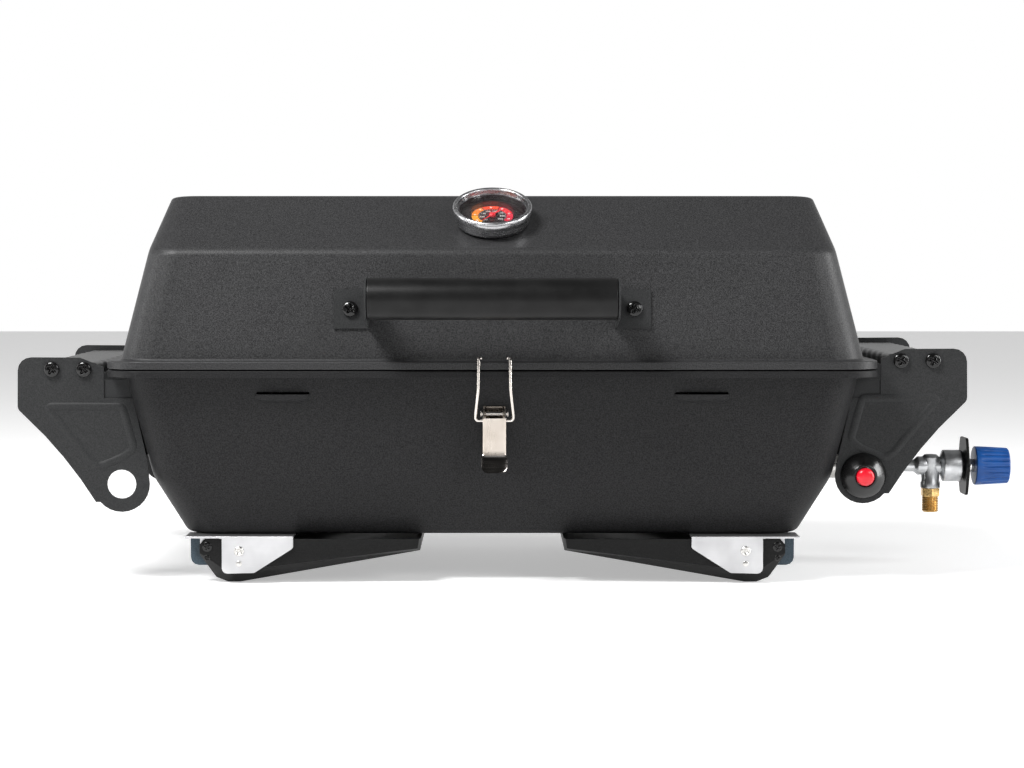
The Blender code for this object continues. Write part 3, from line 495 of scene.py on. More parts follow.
BEZEL_STEEL = brushed("bezel_steel", (0.40, 0.40, 0.41), (0.52, 0.52, 0.53), 0.26, (60.0, 900.0, 900.0), 0.03)
VALVE_ZINC = cast_metal("valve_zinc", (0.42, 0.43, 0.44), (0.62, 0.63, 0.64), 0.34)
INLET_BRASS = cast_metal("inlet_brass", (0.50, 0.32, 0.12), (0.66, 0.45, 0.19), 0.26)
GRATE_ENAMEL = powder_coat("grate_enamel", (0.008, 0.008, 0.009), (0.020, 0.020, 0.021), 0.30, 600.0, 0.3)
# Painted shade: the leg stops are bare steel seen in shadow, and this dark blue-grey coat stands in for that
# shade.
STOP_SHADE_PAINT = powder_coat("stop_painted_shade", (0.030, 0.045, 0.058), (0.050, 0.072, 0.090), 0.38)
CERAMIC_GLAZE = moulded("ceramic_glaze", (0.70, 0.68, 0.62), (0.80, 0.78, 0.72), 0.22, 0.4)
CABLE_RUBBER = moulded("cable_sheath", (0.010, 0.010, 0.011), (0.018, 0.018, 0.019), 0.44)
print("finishes:", len(bpy.data.materials))

# %% [markdown]
# ## The firebox and the lid
#
# Both are deep-drawn from thin sheet, with wide flat facets and soft creases. They could be boxes with bevels,
# but a pressing's corner radius changes as it rises. So each is a stack of rounded rectangles, every one given
# by six numbers: half width, front, rear, corner radius, front height and rear height. The stack's corners are
# eased with parabolas, which makes the creases. It covers the outside and the inside, a sheet apart.

# %% Levels of the two pressings
SHEET = 0.0015
LID_LOW, LID_HIGH = span("lid")
BOX_LOW, BOX_HIGH = span("firebox")
RIM_X, RIM_Y = LID_HIGH.x, LID_HIGH.y
RIM_RADIUS = 0.030
WALL_RADIUS, LID_CREASE_RADIUS, LID_RIDGE_RADIUS = 0.026, 0.024, 0.020
FLOOR_RADIUS = 0.024
BOX_CREASE_Z = 0.0800
LID_RIM_Z = 0.1680
LID_CREASE_Z = 0.2496
LID_WALL = (0.2765, 0.1610)          # half width and half depth at the lid's rim
LID_CREASE = (0.2565, 0.1490)
LID_RIDGE_X, LID_RIDGE_Y, LID_REAR_Y = 0.2480, 0.0740, 0.1130
LID_REAR_Z = 0.2776
BOX_WALL = (0.2735, 0.1600)          # the same at the firebox's rim
BOX_CREASE = (0.2555, 0.1425)
BOX_FLOOR = (0.2320, 0.1180)
CAP_INSET, CAP_RADIUS = 0.030, 0.010      # the smaller rectangle that a flat end runs in to
LIP_DEPTH = 0.0050


def level(half_x, half_y, radius, height, rear_y=None, rear_height=None):
    """Six numbers for one rounded rectangle of a pressing."""
    return (half_x, -half_y, half_y if rear_y is None else rear_y, radius, height,
            height if rear_height is None else rear_height)


def rounded_rings(levels, steps=9):
    """Corner point = corner centre + radius (cos a, sin a); height runs evenly from front to rear."""
    half_x, front, rear, radius, low, high = (levels[:, [i]] for i in range(6))
    quarter = np.linspace(0.0, np.pi / 2, steps)
    across, along = [], []
    for turn, (x_sign, y_sign) in enumerate(((1, 1), (-1, 1), (-1, -1), (1, -1))):
        angle = quarter + turn * np.pi / 2
        edge = rear if y_sign > 0 else front
        across.append(x_sign * (half_x - radius) + radius * np.cos(angle))
        along.append(edge - y_sign * radius + radius * np.sin(angle))
    x, y = np.hstack(across), np.hstack(along)
    return np.stack([x, y, low + (high - low) * (y - front) / (rear - front)], -1)


def pressing(name, levels, bends):
    """A closed skin through eased levels."""
    piece = skin(name, rounded_rings(eased(levels, bends)), 50)
    weigh_normals(piece)
    return piece


print("rims", round(RIM_X * 2000), "by", round(RIM_Y * 2000), "mm")

# %% Firebox
ledge_z = BOX_HIGH.z - SHEET
lip_z = BOX_HIGH.z - LIP_DEPTH
wall_x, wall_y = BOX_WALL
crease_x, crease_y = BOX_CREASE
floor_x, floor_y = BOX_FLOOR
floor_cap = (floor_x - CAP_INSET, floor_y - CAP_INSET, CAP_RADIUS)
rim_outside = (RIM_X, RIM_Y, RIM_RADIUS)
rim_inside = (RIM_X - SHEET, RIM_Y - SHEET, RIM_RADIUS - SHEET)
box_levels = [
    level(*floor_cap, BOX_LOW.z),
    level(floor_x, floor_y, FLOOR_RADIUS, BOX_LOW.z),
    level(crease_x, crease_y, WALL_RADIUS, BOX_CREASE_Z),
    level(wall_x, wall_y, WALL_RADIUS, ledge_z),
    level(*rim_inside, ledge_z),
    level(*rim_inside, lip_z),
    level(*rim_outside, lip_z),
    level(*rim_outside, BOX_HIGH.z),
    level(wall_x - SHEET, wall_y - SHEET, WALL_RADIUS - SHEET, BOX_HIGH.z),
    level(crease_x - SHEET, crease_y - SHEET, WALL_RADIUS - SHEET, BOX_CREASE_Z + SHEET / 3),
    level(floor_x - SHEET, floor_y - SHEET, FLOOR_RADIUS - SHEET, BOX_LOW.z + SHEET),
    level(*floor_cap, BOX_LOW.z + SHEET)]
box_bends = [0, 0.006, 0.007, 0.0015, 0.0004, 0.0002, 0.0005, 0.0016, 0.0020, 0.007, 0.006, 0]
firebox = pressing("firebox_pressing", box_levels, box_bends)
LOUVRE_X = 0.1545
LOUVRE_HALF = 0.0195
LOUVRE_Z = 0.1430
SLOT_BELOW, SLOT_ABOVE = 0.0012, 0.0020
SLOT_OUT, SLOT_IN = 0.006, 0.004          # how far the cutter reaches past the wall's two faces
JET_RADIUS, JET_REACH = 0.0112, 0.03


def box_wall_y(z):
    """Distance of the firebox's upper wall from the middle: a straight line between two levels."""
    return crease_y + (wall_y - crease_y) * (z - BOX_CREASE_Z) / (ledge_z - BOX_CREASE_Z)


wall_face = box_wall_y(LOUVRE_Z)
for side, _ in SIDES:
    low = (side * LOUVRE_X - LOUVRE_HALF, -wall_face - SLOT_OUT, LOUVRE_Z - SLOT_BELOW)
    high = (side * LOUVRE_X + LOUVRE_HALF, -wall_face + SLOT_IN, LOUVRE_Z + SLOT_ABOVE)
    carve(firebox, block("slot_cutter", low, high))
VALVE_AXIS_Z = joint_place("knob_turn")[2]
ALONG_X = (1.0, 0.0, 0.0)
jet_profile = [(0.0, -JET_REACH), (JET_RADIUS, -JET_REACH), (JET_RADIUS, JET_REACH), (0.0, JET_REACH)]
carve(firebox, lathe("jet_cutter", jet_profile, (crease_x, 0, VALVE_AXIS_Z), ALONG_X))
mount(firebox, BOX_PAINT, "grill_base", "firebox")
print("firebox faces", len(firebox.data.polygons))

# %% [markdown]
# The louvres are slots whose lower lip is pressed outwards, like a mail slot turned upside down. The lip is a
# function of two parameters: along the slot it rises and falls quickly at the ends, and across it falls in a
# rounded curve from the slot's edge down to the wall.


# %% Louvre lips
LIP_BULGE = 0.0044
LIP_FALL = 0.0062            # from the lip's edge down to where it meets the wall
LIP_TOP = LOUVRE_Z + 0.0004
LIP_HALF = LOUVRE_HALF + 0.0012
LIP_SUNK = 0.0006            # how deep its back stands in the wall


def louvre_lip(side, side_name):
    """Bulge b(s, v) = depth (1 - |s|^6) cos(pi v / 2)^0.7 added to the wall, closed by the wall behind it."""
    s = np.linspace(-1.0, 1.0, 41)[:, None]
    v = np.linspace(0.0, 1.0, 11)[None, :]
    x = side * LOUVRE_X + s * LIP_HALF + 0 * v
    z = LIP_TOP - LIP_FALL * v * (1 - np.abs(s) ** 8 * 0.55)
    wall = -box_wall_y(z)
    bulge = LIP_BULGE * (1 - np.abs(s) ** 6) * np.cos(np.pi * v / 2) ** 0.7
    front = np.stack([x, wall - bulge + 0.0001, z], -1)
    back = np.stack([x, wall + LIP_SUNK, z], -1)
    return skin(f"louvre_lip_{side_name}", np.hstack([front, back[:, ::-1]]), 45)


for side, side_name in SIDES:
    mount(louvre_lip(side, side_name), BOX_PAINT, "grill_base", slot=SLOT_OF["firebox"])
print("two louvre lips")

# %% Lid
RIDGE_STEP = 0.0022          # how much the top's slope takes from the front to the cap, and again at the rear
ridge_cap = level(LID_RIDGE_X - CAP_INSET, LID_RIDGE_Y - CAP_INSET, CAP_RADIUS, LID_HIGH.z - RIDGE_STEP,
                  LID_REAR_Y - CAP_INSET, LID_REAR_Z + RIDGE_STEP)


def sunk(row, inset, drop):
    """The same rounded rectangle, smaller by inset all round and lower by drop."""
    half_x, front, rear, radius, low, high = row
    return (half_x - inset, front + inset, rear - inset, radius - inset, low - drop, high - drop)


lid_outside = [
    level(*rim_outside, LID_LOW.z),
    level(*rim_outside, LID_RIM_Z),
    level(*LID_WALL, WALL_RADIUS, LID_RIM_Z),
    level(*LID_CREASE, LID_CREASE_RADIUS, LID_CREASE_Z),
    level(LID_RIDGE_X, LID_RIDGE_Y, LID_RIDGE_RADIUS, LID_HIGH.z, LID_REAR_Y, LID_REAR_Z)]
inside_drops = (SHEET, SHEET * 0.5, SHEET, SHEET, 0.0)
lid_inside = [sunk(row, SHEET, drop) for row, drop in zip(lid_outside[::-1], inside_drops)]
lid_levels = [sunk(ridge_cap, 0, SHEET), *lid_inside, *lid_outside, ridge_cap]
lid_bends = [0, 0.005, 0.006, 0.0020, 0.0010, 0.0003, 0.0004, 0.0020, 0.0030, 0.0060, 0.0055, 0]
lid = pressing("lid_pressing", lid_levels, lid_bends)
mount(lid, LID_PAINT, "lid", "lid")
print("lid faces", len(lid.data.polygons))

# %% [markdown]
# ## Side plates, grips and their screws
#
# Each plate is cut from 1.6 mm sheet and pressed with a raised channel that stiffens it. The frame's outline
# is kept with softened edges. The channel is a low rounded rib along an eased path on the outer face.


# %% Side plates
PLATE_EDGE = 0.00035         # how far the edges of painted plates are rounded
PLATE_FACE = abs(span("side_plate_left_front")[0].y)
CHANNEL = [(0.3060, 0.1325), (0.2774, 0.1322), (0.2739, 0.1203), (0.2688, 0.1011), (0.2758, 0.0951),
           (0.2950, 0.0870), (0.3020, 0.0925), (0.3345, 0.1325), (0.3060, 0.1325)]
CHANNEL_BENDS = [0, 0.003, 0.006, 0.004, 0.006, 0.004, 0.004, 0.005, 0]
RIB_HALF, RIB_HEIGHT, RIB_SUNK = 0.0030, 0.0009, 0.0004
RIGHT_LIFT = span("side_plate_right_front")[1].z - span("side_plate_left_front")[1].z


def channel_rib(name, side, end, lift):
    """Cross-section at q: outward = height cos(q)^2, sideways = half width sin(q), across a closed path."""
    path = eased([(side * x, z + lift) for x, z in CHANNEL], CHANNEL_BENDS, 7)[:-1]
    along = np.roll(path, -1, 0) - np.roll(path, 1, 0)
    along /= np.linalg.norm(along, axis=1, keepdims=True)
    across = np.stack([-along[:, 1], along[:, 0]], -1)
    turn = np.linspace(-np.pi / 2, np.pi / 2, 13)
    flat = path[:, None] + (RIB_HALF * np.sin(turn))[None, :, None] * across[:, None]
    height = np.broadcast_to(RIB_HEIGHT * np.cos(turn) ** 2, flat.shape[:2])
    outer = np.stack([flat[..., 0], end * (PLATE_FACE + height - 0.00002), flat[..., 1]], -1)
    inner = np.stack([flat[..., 0], end * (PLATE_FACE - RIB_SUNK) + 0 * height, flat[..., 1]], -1)
    return skin(name, np.hstack([outer, inner[:, ::-1]]), 60, wrap_rows=True)


for side, end, corner in CORNERS:
    keep(f"side_plate_{corner}", PLATE_EDGE, PLATE_PAINT)
    rib = channel_rib(f"channel_{corner}", side, end, RIGHT_LIFT if side > 0 else 0.0)
    mount(rib, PLATE_PAINT, "grill_base", slot=SLOT_OF[f"side_plate_{corner}"])
print("four side plates, right pair higher by", round(RIGHT_LIFT * 1000, 1), "mm")


# %% Carrying grips
GRIP_CORNER = 0.0045
RIDGE_PITCH, RIDGE_HEIGHT, RIDGED_HALF = 0.010, 0.0005, 0.095


def grip_slat(node):
    """A rounded bar along y, drawn in by (ridge / 20 mm) cos(2 pi y / pitch)^2 and a little at its ends."""
    low, high = span(node)
    seam = (low.x + 0.008, low.z)
    loop = eased([seam, (low.x, low.z), (low.x, high.z), (high.x, high.z), (high.x, low.z), seam],
                 [0, *[GRIP_CORNER] * 4, 0], 7)[:-1]
    between = np.linspace(low.y + 0.0016, high.y - 0.0016, 60)
    station = np.concatenate([[low.y + 0.0006], between, [high.y - 0.0006]])
    ridge = RIDGE_HEIGHT * np.cos(station / RIDGE_PITCH * FULL_TURN) ** 2 * (np.abs(station) < RIDGED_HALF)
    squeeze = 1.0 - ridge / 0.02
    squeeze[[0, -1]] -= 0.04
    middle = np.array([(low.x + high.x) / 2, (low.z + high.z) / 2])
    flat = middle + (loop[None] - middle) * squeeze[:, None, None]
    grid = np.stack([flat[..., 0], np.broadcast_to(station[:, None], flat.shape[:2]), flat[..., 1]], -1)
    return skin(f"{node}_slat", grid, 40)


for _, side_name in SIDES:
    node = f"side_grip_{side_name}"
    mount(grip_slat(node), GRIP_PLASTIC, "grill_base", node)
print("two grips")


# %% [markdown]
# A pan-head screw is a low dome with a cross pocket. Cutting the cross with booleans would leave knife edges
# on ten screws. The dome is a height function, so the pocket is simply a second, smooth function taken away.


# %% Cross-recess screws
CROSS_TURN = 0.5             # the cross stands a little askew, as a driven screw does
BAR_HALF, BAR_REACH, BAR_SOFT = 0.14, 0.58, 0.05
POCKET = 0.52                # share of the head's height


def cross_screw(name, centre, axis, radius, height):
    """Height(r, a) = h (0.42 + 0.58 sqrt(1 - 0.97 r^2) - pocket cross(x, y)); the cross is two soft bars."""
    r = np.linspace(0.0, 1.0, 30)[:, None]
    angle = turns_round(80)
    x, y = r * np.cos(angle + CROSS_TURN), r * np.sin(angle + CROSS_TURN)
    bars = [1 / (1 + np.exp((np.abs(a) - BAR_HALF) / BAR_SOFT * 2))
            / (1 + np.exp((np.abs(b) - BAR_REACH) / BAR_SOFT * 2)) for a, b in ((x, y), (y, x))]
    top = height * (0.42 + 0.58 * np.sqrt(np.clip(1 - 0.97 * r ** 2, 0, 1)) - POCKET * np.maximum(*bars))
    row = np.ones_like(angle)
    radial = np.vstack([r * row, row, row * 0.96, row * 0.0])
    rise = np.vstack([top, row * height * 0.12, row * 0.0, row * 0.0])
    return skin(name, stood_on(turned_points(radius * radial, angle, rise), centre, axis), 42)


def head_of(node, axis):
    """The middle of a screw's head where it meets the sheet, the head's radius and its height."""
    data = frame["nodes"][node].data
    points = np.array([tuple(vertex.co) for vertex in data.vertices]) - MIDDLE
    along = np.asarray(axis, float) / np.linalg.norm(axis)
    reach = points @ along
    ring = points - np.outer(reach, along)
    centre = (ring.max(0) + ring.min(0)) / 2
    radius = np.linalg.norm(ring - centre, axis=1)
    wide = reach[radius > radius.max() * 0.98]
    return centre + along * wide.min(), radius.max(), reach.max() - wide.min()


LID_LEAN = (LID_WALL[1] - LID_CREASE[1]) / (LID_CREASE_Z - LID_RIM_Z)
screw_rows = [(f"grip_screw_{corner}_{number}", (0, end, 0), "grill_base")
              for _, end, corner in CORNERS for number in (1, 2)]
screw_rows += [(f"handle_screw_{side_name}", (0, -1, LID_LEAN), "lid") for _, side_name in SIDES]
for node, axis, body in screw_rows:
    centre, radius, height = head_of(node, axis)
    mount(cross_screw(f"{node}_head", centre, axis, radius, height), SCREW_BLACK, body, node)
print(len(screw_rows), "screws")


# %% [markdown]
# ## Legs, brackets and stops
#
# The folded legs are trays of painted sheet with slanted edges, and the bright brackets above them are bare
# steel. Their shapes are already right in the frame, so each is a softened copy. The rivet and the dimple on
# every bracket are small turned pieces of their own.

# %% Legs and their brackets
RIVET_X, RIVET_Z, DIMPLE_Z = 0.1898, 0.0244, 0.0150
DIMPLE_RADIUS, DIMPLE_HEIGHT = 0.0022, 0.0007
# The rivet is a rolled ring round a shallow pit.
RIVET_PROFILE = [(0.0, 0.0002), (0.0012, 0.0002), (0.0017, 0.0008), (0.0026, 0.0012), (0.0034, 0.0009),
                 (0.0038, 0.0003), (0.0038, -0.0004), (0.0, -0.0004)]
PIN_HEAD_RADIUS, PIN_HEAD_HEIGHT = 0.0036, 0.0012
HEEL_X, HEEL_Z, HEEL_SUNK = 0.2140, 0.0188, 0.0004
HEEL_RADIUS, HEEL_HEIGHT = 0.0024, 0.0010
CHEEK_FACE = abs(span("leg_bracket_left_front")[0].y)


def dome(name, place, axis, radius, height):
    """A button head: height(r) = h (0.25 + 0.75 sqrt(1 - (r / R)^2)), with a straight rim below."""
    turn = np.linspace(np.pi / 2, 0.0, 9)
    profile = [(radius * math.cos(t), height * (0.25 + 0.75 * math.sin(t))) for t in turn]
    profile[0] = (0.0, height)
    return lathe(name, [*profile, (radius, -0.0004), (0.0, -0.0004)], place, axis, 32)


for side, side_name in SIDES:
    keep(f"leg_{side_name}", 0.0006, LEG_PAINT, f"leg_{side_name}")
    # Each leg stop gets the dark blue-grey painted shade of its shadowed steel.
    keep(f"leg_stop_{side_name}", 0.0003, STOP_SHADE_PAINT)
    for _, end_name in ENDS:
        keep(f"leg_bracket_{side_name}_{end_name}", PLATE_EDGE, BRACKET_STEEL)
for side, end, corner in CORNERS:
    outward = (0, end, 0)
    low, high = span(f"leg_pin_{corner}")
    pin_face = max(abs(low.y), abs(high.y)) - PIN_HEAD_HEIGHT
    pin_at = ((low.x + high.x) / 2, end * pin_face, (low.z + high.z) / 2)
    screw = cross_screw(f"leg_pin_{corner}_head", pin_at, outward, PIN_HEAD_RADIUS, PIN_HEAD_HEIGHT)
    mount(screw, SCREW_BLACK, "grill_base", f"leg_pin_{corner}")
    heel_at = (side * HEEL_X, end * (pin_face - HEEL_SUNK), HEEL_Z)
    heel = cross_screw(f"heel_screw_{corner}", heel_at, outward, HEEL_RADIUS, HEEL_HEIGHT)
    mount(heel, SCREW_BLACK, f"leg_{'left' if side < 0 else 'right'}", slot="black_oxide")
    rivet = lathe(f"rivet_{corner}", RIVET_PROFILE, (side * RIVET_X, end * CHEEK_FACE, RIVET_Z), outward, 36)
    mount(rivet, BARE_STEEL, "grill_base", slot="bare_steel")
    dimple = dome(f"dimple_{corner}", (side * RIVET_X, end * CHEEK_FACE, DIMPLE_Z), outward,
                  DIMPLE_RADIUS, DIMPLE_HEIGHT)
    mount(dimple, BARE_STEEL, "grill_base", slot="bare_steel")
print("two legs, four brackets")

# %% [markdown]
# ## Cooking parts under the lid
#
# The frame's grate is a flat lattice. The real one is round rod, so each bar is a tube along a straight path,
# on three cross rods inside a rod rim. The heat plate, burner and tray keep the frame's shapes.

# %% Grate of rods
GRATE_LOW, GRATE_HIGH = span("cooking_grate")
ROD = 0.0024
ROD_SIDES = 12
BAR_COUNT = 25
CROSS_RODS = (-0.075, 0.0, 0.075)
RIM_CORNER = 0.022
OUTER_BAR_CUT = 0.012        # the two outer bars stop short of the rim's corners
bar_z = GRATE_HIGH.z - ROD
rim_z = GRATE_LOW.z + ROD * 0.8


def rod_grate():
    """Bars along y on cross rods along x, inside a rod rim, as one piece."""
    inner_x, inner_y = GRATE_HIGH.x - 0.010, GRATE_HIGH.y - 0.004
    cross_x = GRATE_HIGH.x - 0.004
    rods = []
    for x in np.linspace(-inner_x, inner_x, BAR_COUNT):
        reach = inner_y - (OUTER_BAR_CUT if abs(x) > inner_x - 0.004 else 0.0)
        rods.append(np.linspace((x, -reach, bar_z), (x, reach, bar_z), 3))
    rods += [np.linspace((-cross_x, y, rim_z), (cross_x, y, rim_z), 3) for y in CROSS_RODS]
    rim = rounded_rings(np.array([level(GRATE_HIGH.x - ROD, GRATE_HIGH.y - ROD, RIM_CORNER, rim_z)]), 8)[0]
    rods.append(np.vstack([rim, rim[:1] * 0.999 + rim[-1:] * 0.001]))
    tubes = [tube(f"rod_{i}", path, ROD, ROD_SIDES) for i, path in enumerate(rods)]
    return joined("cooking_grate_rods", tubes)


mount(rod_grate(), GRATE_ENAMEL, "grill_base", "cooking_grate")
for node, edge, finish in (("burner_tube", 0.0, BARE_STEEL), ("heat_plate", 0.0003, BARE_STEEL),
                           ("drip_tray", 0.0, BARE_STEEL), ("igniter_electrode", 0.0, CERAMIC_GLAZE),
                           ("igniter_wire", 0.0, CABLE_RUBBER)):
    keep(node, edge, finish)
print("grate of", BAR_COUNT, "bars")

# %% [markdown]
# ## The gas valve
#
# The valve is a zinc casting with a black flange, a threaded brass inlet that points down, and a blue knob. A
# thread and the knob's flutes are ripples on a turned surface: the radius changes with the angle and height.


# %% Valve body, flange and inlet
VALVE_AT = (0.0, 0.0, VALVE_AXIS_Z)
body_profile = eased([
    (0.0, 0.3960), (0.0052, 0.3960), (0.0052, 0.3770), (0.0112, 0.3770), (0.0127, 0.3755),
    (0.0127, 0.3610), (0.0068, 0.3590), (0.0068, 0.3480), (0.0074, 0.3470), (0.0074, 0.3410),
    (0.0062, 0.3395), (0.0048, 0.3380), (0.0048, 0.2900), (0.0030, 0.2860), (0.0030, 0.2650), (0.0, 0.2650)],
    [0, .0005, .0003, .0006, .001, .001, .0008, .0006, .0004, .0004, .0004, .0006, .0006, .0006, .0004, 0], 4)
casting = lathe("valve_casting", body_profile, VALVE_AT, ALONG_X, 48, 38)
mount(casting, VALVE_ZINC, "grill_base", "valve_body")
INLET_LOW, INLET_HIGH = span("gas_inlet")
BRANCH_X = (INLET_LOW.x + INLET_HIGH.x) / 2
branch_profile = [(0.0, 0.0095), (0.0050, 0.0090), (0.0074, 0.0066), (0.0076, 0.0), (0.0070, -0.0120),
                  (0.0078, -0.0135), (0.0078, -0.0176), (0.0, -0.0176)]
branch = lathe("valve_branch", branch_profile, (BRANCH_X, 0, VALVE_AXIS_Z), (0, 0, 1), 40)
mount(branch, VALVE_ZINC, "grill_base", slot="valve_zinc")


THREAD_PITCH, THREAD_DEPTH, THREAD_ROOT = 0.0014, 0.0007, 0.0060
HEX_HALF = 0.0068            # half the collar's width across its flats
COLLAR_BOTTOM, THREAD_TOP, THREAD_BOTTOM, INLET_TIP = -0.0060, -0.0066, -0.0183, -0.0190
TIP_RADIUS, BORE_SHARE, BORE_DEPTH = 0.0056, 0.62, 0.0060


def threaded_inlet():
    """Radius = root + depth (1 + cos(2 pi h / pitch + a)) / 2 along the thread, below a six-sided collar."""
    height = np.concatenate([np.linspace(0.0, COLLAR_BOTTOM, 5), np.linspace(THREAD_TOP, THREAD_BOTTOM, 110),
                             [INLET_TIP]])[:, None]
    angle = turns_round(72)
    hexagon = HEX_HALF / np.cos((angle + np.pi / 6) % (np.pi / 3) - np.pi / 6)
    thread = THREAD_ROOT + THREAD_DEPTH * (1 + np.cos(FULL_TURN * height / THREAD_PITCH + angle)) / 2
    radius = np.where(height >= COLLAR_BOTTOM, hexagon, thread)
    radius[-1] = TIP_RADIUS
    local = turned_points(radius, angle, height)
    bore = local[-1:] * np.array([BORE_SHARE, BORE_SHARE, 1.0])
    pit = bore + np.array([0.0, 0.0, BORE_DEPTH])
    grid = np.concatenate([local[:1] * np.array([0.001, 0.001, 1.0]), local, bore, pit])
    return skin("gas_inlet_thread", grid + np.array([BRANCH_X, 0.0, INLET_HIGH.z]), 32)


mount(threaded_inlet(), INLET_BRASS, "grill_base", "gas_inlet")
keep("valve_flange", 0.0004, LEG_PAINT)
flange_x = span("valve_flange")[1].x
FLANGE_SCREWS = ((0.0, 0.0175), (0.0, -0.0175), (0.0150, 0.0), (-0.0150, 0.0))
FLANGE_SCREW_RADIUS, FLANGE_SCREW_HEIGHT = 0.0030, 0.0022
for number, (y, z) in enumerate(FLANGE_SCREWS, 1):
    screw = cross_screw(f"flange_screw_{number}", (flange_x, y, VALVE_AXIS_Z + z), ALONG_X,
                        FLANGE_SCREW_RADIUS, FLANGE_SCREW_HEIGHT)
    mount(screw, BARE_STEEL, "grill_base", slot="bare_steel")
print("valve body, inlet and flange")


# %% Knob
FLUTES = 18
FLUTE_DEPTH = 0.075          # share of the knob's radius
FLUTE_FADE = 0.0020          # the flutes run out over this length at each end
FLUTE_TOP, FLUTE_BOTTOM = 0.0006, 0.0050


def fluted_knob():
    """Radius = R(h) (1 - flute (1 - |sin(n a / 2)|^0.5)), fading to a plain collar at both ends."""
    low, high = span("valve_knob")
    corners = [(0.0, high.x), (0.0112, high.x), (0.0142, high.x - 0.0004), (0.0155, low.x + 0.0034),
               (0.0155, low.x + 0.0004), (0.0146, low.x), (0.0, low.x)]
    profile = eased(corners, [0, 0.0006, 0.0012, 0.0004, 0.0006, 0.0006, 0], 5)
    dense = np.linspace(0.0, 1.0, 9)[1:-1, None]
    steps = [profile[:1]]
    for start, stop in zip(profile, profile[1:]):
        if np.linalg.norm(stop - start) > 0.004:
            steps.append(start + (stop - start) * dense)
        steps.append(stop[None])
    profile = np.vstack(steps)
    angle = turns_round(216)
    height = profile[:, 1:]
    fluted = (np.clip((high.x - FLUTE_TOP - height) / FLUTE_FADE, 0, 1)
              * np.clip((height - low.x - FLUTE_BOTTOM) / FLUTE_FADE, 0, 1))
    flute = FLUTE_DEPTH * fluted * (1 - np.abs(np.sin(FLUTES * angle / 2)) ** 0.5)
    local = turned_points(profile[:, :1] * (1 - flute), angle, height)
    return skin("valve_knob_fluted", stood_on(local, VALVE_AT, ALONG_X), 40)


mount(fluted_knob(), KNOB_PLASTIC, "knob", "valve_knob")
print("fluted knob")

# %% [markdown]
# ## The igniter
#
# A glossy black cone holds a domed red push button. Both are turned, with eased corners that give the moulded
# edge its thin line of light.

# %% Igniter housing and button
igniter_low, igniter_high = span("igniter_housing")
igniter_x = (igniter_low.x + igniter_high.x) / 2
igniter_z = (igniter_low.z + igniter_high.z) / 2
IGNITER_AT = (igniter_x, 0.0, igniter_z)
FORWARD = (0.0, -1.0, 0.0)
back = 0.1269                # where the cone's back meets the side plate
housing_profile = eased([
    (0.0072, 0.1300), (0.0072, 0.1385), (0.0088, 0.1385), (0.0150, 0.1325), (0.0172, 0.1290), (0.0172, back),
    (0.0100, back), (0.0100, 0.0850), (0.0072, 0.0850), (0.0072, 0.1300)],
    [0, 0.0006, 0.0009, 0.0030, 0.0016, 0.0003, 0.0003, 0.0008, 0.0004, 0], 6)
mount(lathe("igniter_cone", housing_profile, IGNITER_AT, FORWARD, 72), BEZEL_PLASTIC, "grill_base",
      "igniter_housing")
button_profile = eased([(0.0, 0.1424), (0.0046, 0.1420), (0.0067, 0.1400), (0.0067, 0.1180), (0.0, 0.1180)],
                       [0, 0.0018, 0.0014, 0.0002, 0], 8)
mount(lathe("igniter_push", button_profile, IGNITER_AT, FORWARD), BUTTON_PLASTIC, "button",
      "igniter_button")
print("igniter at", round(igniter_x, 4), round(igniter_z, 4))

# %% [markdown]
# ## The thermometer
#
# A polished steel case holds a printed dial behind a glass. The print could be painted in a texture, but
# rings and ticks are cleaner as thin surfaces a quarter of a millimetre above the dial: a point on the dial is
# given by an angle and a radius, in a plane across the needle's axis.

# %% The dial's own directions
DIAL_AT = joint_place("needle_turn")
DIAL_UP = np.array(JOINTS["needle_turn"]["axis"])
DIAL_RIGHT = np.array([1.0, 0.0, 0.0])
DIAL_TOP = np.cross(DIAL_UP, DIAL_RIGHT)
COLD, HOT = math.radians(140), math.radians(-130)      # turns to the left of the dial's top
PRINT_HEIGHT, PRINT_THICK = 0.00585, 0.0001


def on_dial(turn, radius, height):
    """Point = centre - r sin(turn) right + r cos(turn) top + height outwards."""
    turn, radius, height = (value[..., None] for value in np.broadcast_arrays(turn, radius, height))
    return DIAL_AT - radius * np.sin(turn) * DIAL_RIGHT + radius * np.cos(turn) * DIAL_TOP + height * DIAL_UP


def dial_patch(name, turns, radii, height):
    """A flat patch between two turns and two radii, as a closed sliver above the dial."""
    turn = np.linspace(*turns, max(2, int(abs(turns[1] - turns[0]) / 0.05)))[:, None]
    radius = np.array([radii[0], radii[1], radii[1], radii[0]])[None, :]
    heights = height - np.array([0, 0, PRINT_THICK, PRINT_THICK])[None, :]
    return skin(name, on_dial(turn, radius, heights), 30)


print("dial centre", DIAL_AT.round(4))


# %% Dial finishes
def band_print(name, low, high, roughness=0.4):
    """Printed ink: two close tones mixed by a fine noise, under a thin varnish."""
    return moulded(name, low, high, roughness, 0.4)


DIAL_BLACK = band_print("dial_black", (0.006, 0.003, 0.004), (0.010, 0.005, 0.006))
DIAL_WHITE = band_print("dial_white", (0.72, 0.70, 0.68), (0.82, 0.80, 0.78))
NEEDLE_PAINT = band_print("needle_paint", (0.78, 0.020, 0.030), (0.88, 0.035, 0.050), 0.3)
BAND_COLOURS = [(0.95, 0.34, 0.02), (0.93, 0.22, 0.02), (0.88, 0.07, 0.02), (0.78, 0.02, 0.03),
                (0.66, 0.01, 0.04)]
BAND_INKS = [band_print(f"band_ink_{i}", tuple(c * 0.85 for c in colour), colour)
             for i, colour in enumerate(BAND_COLOURS, 1)]


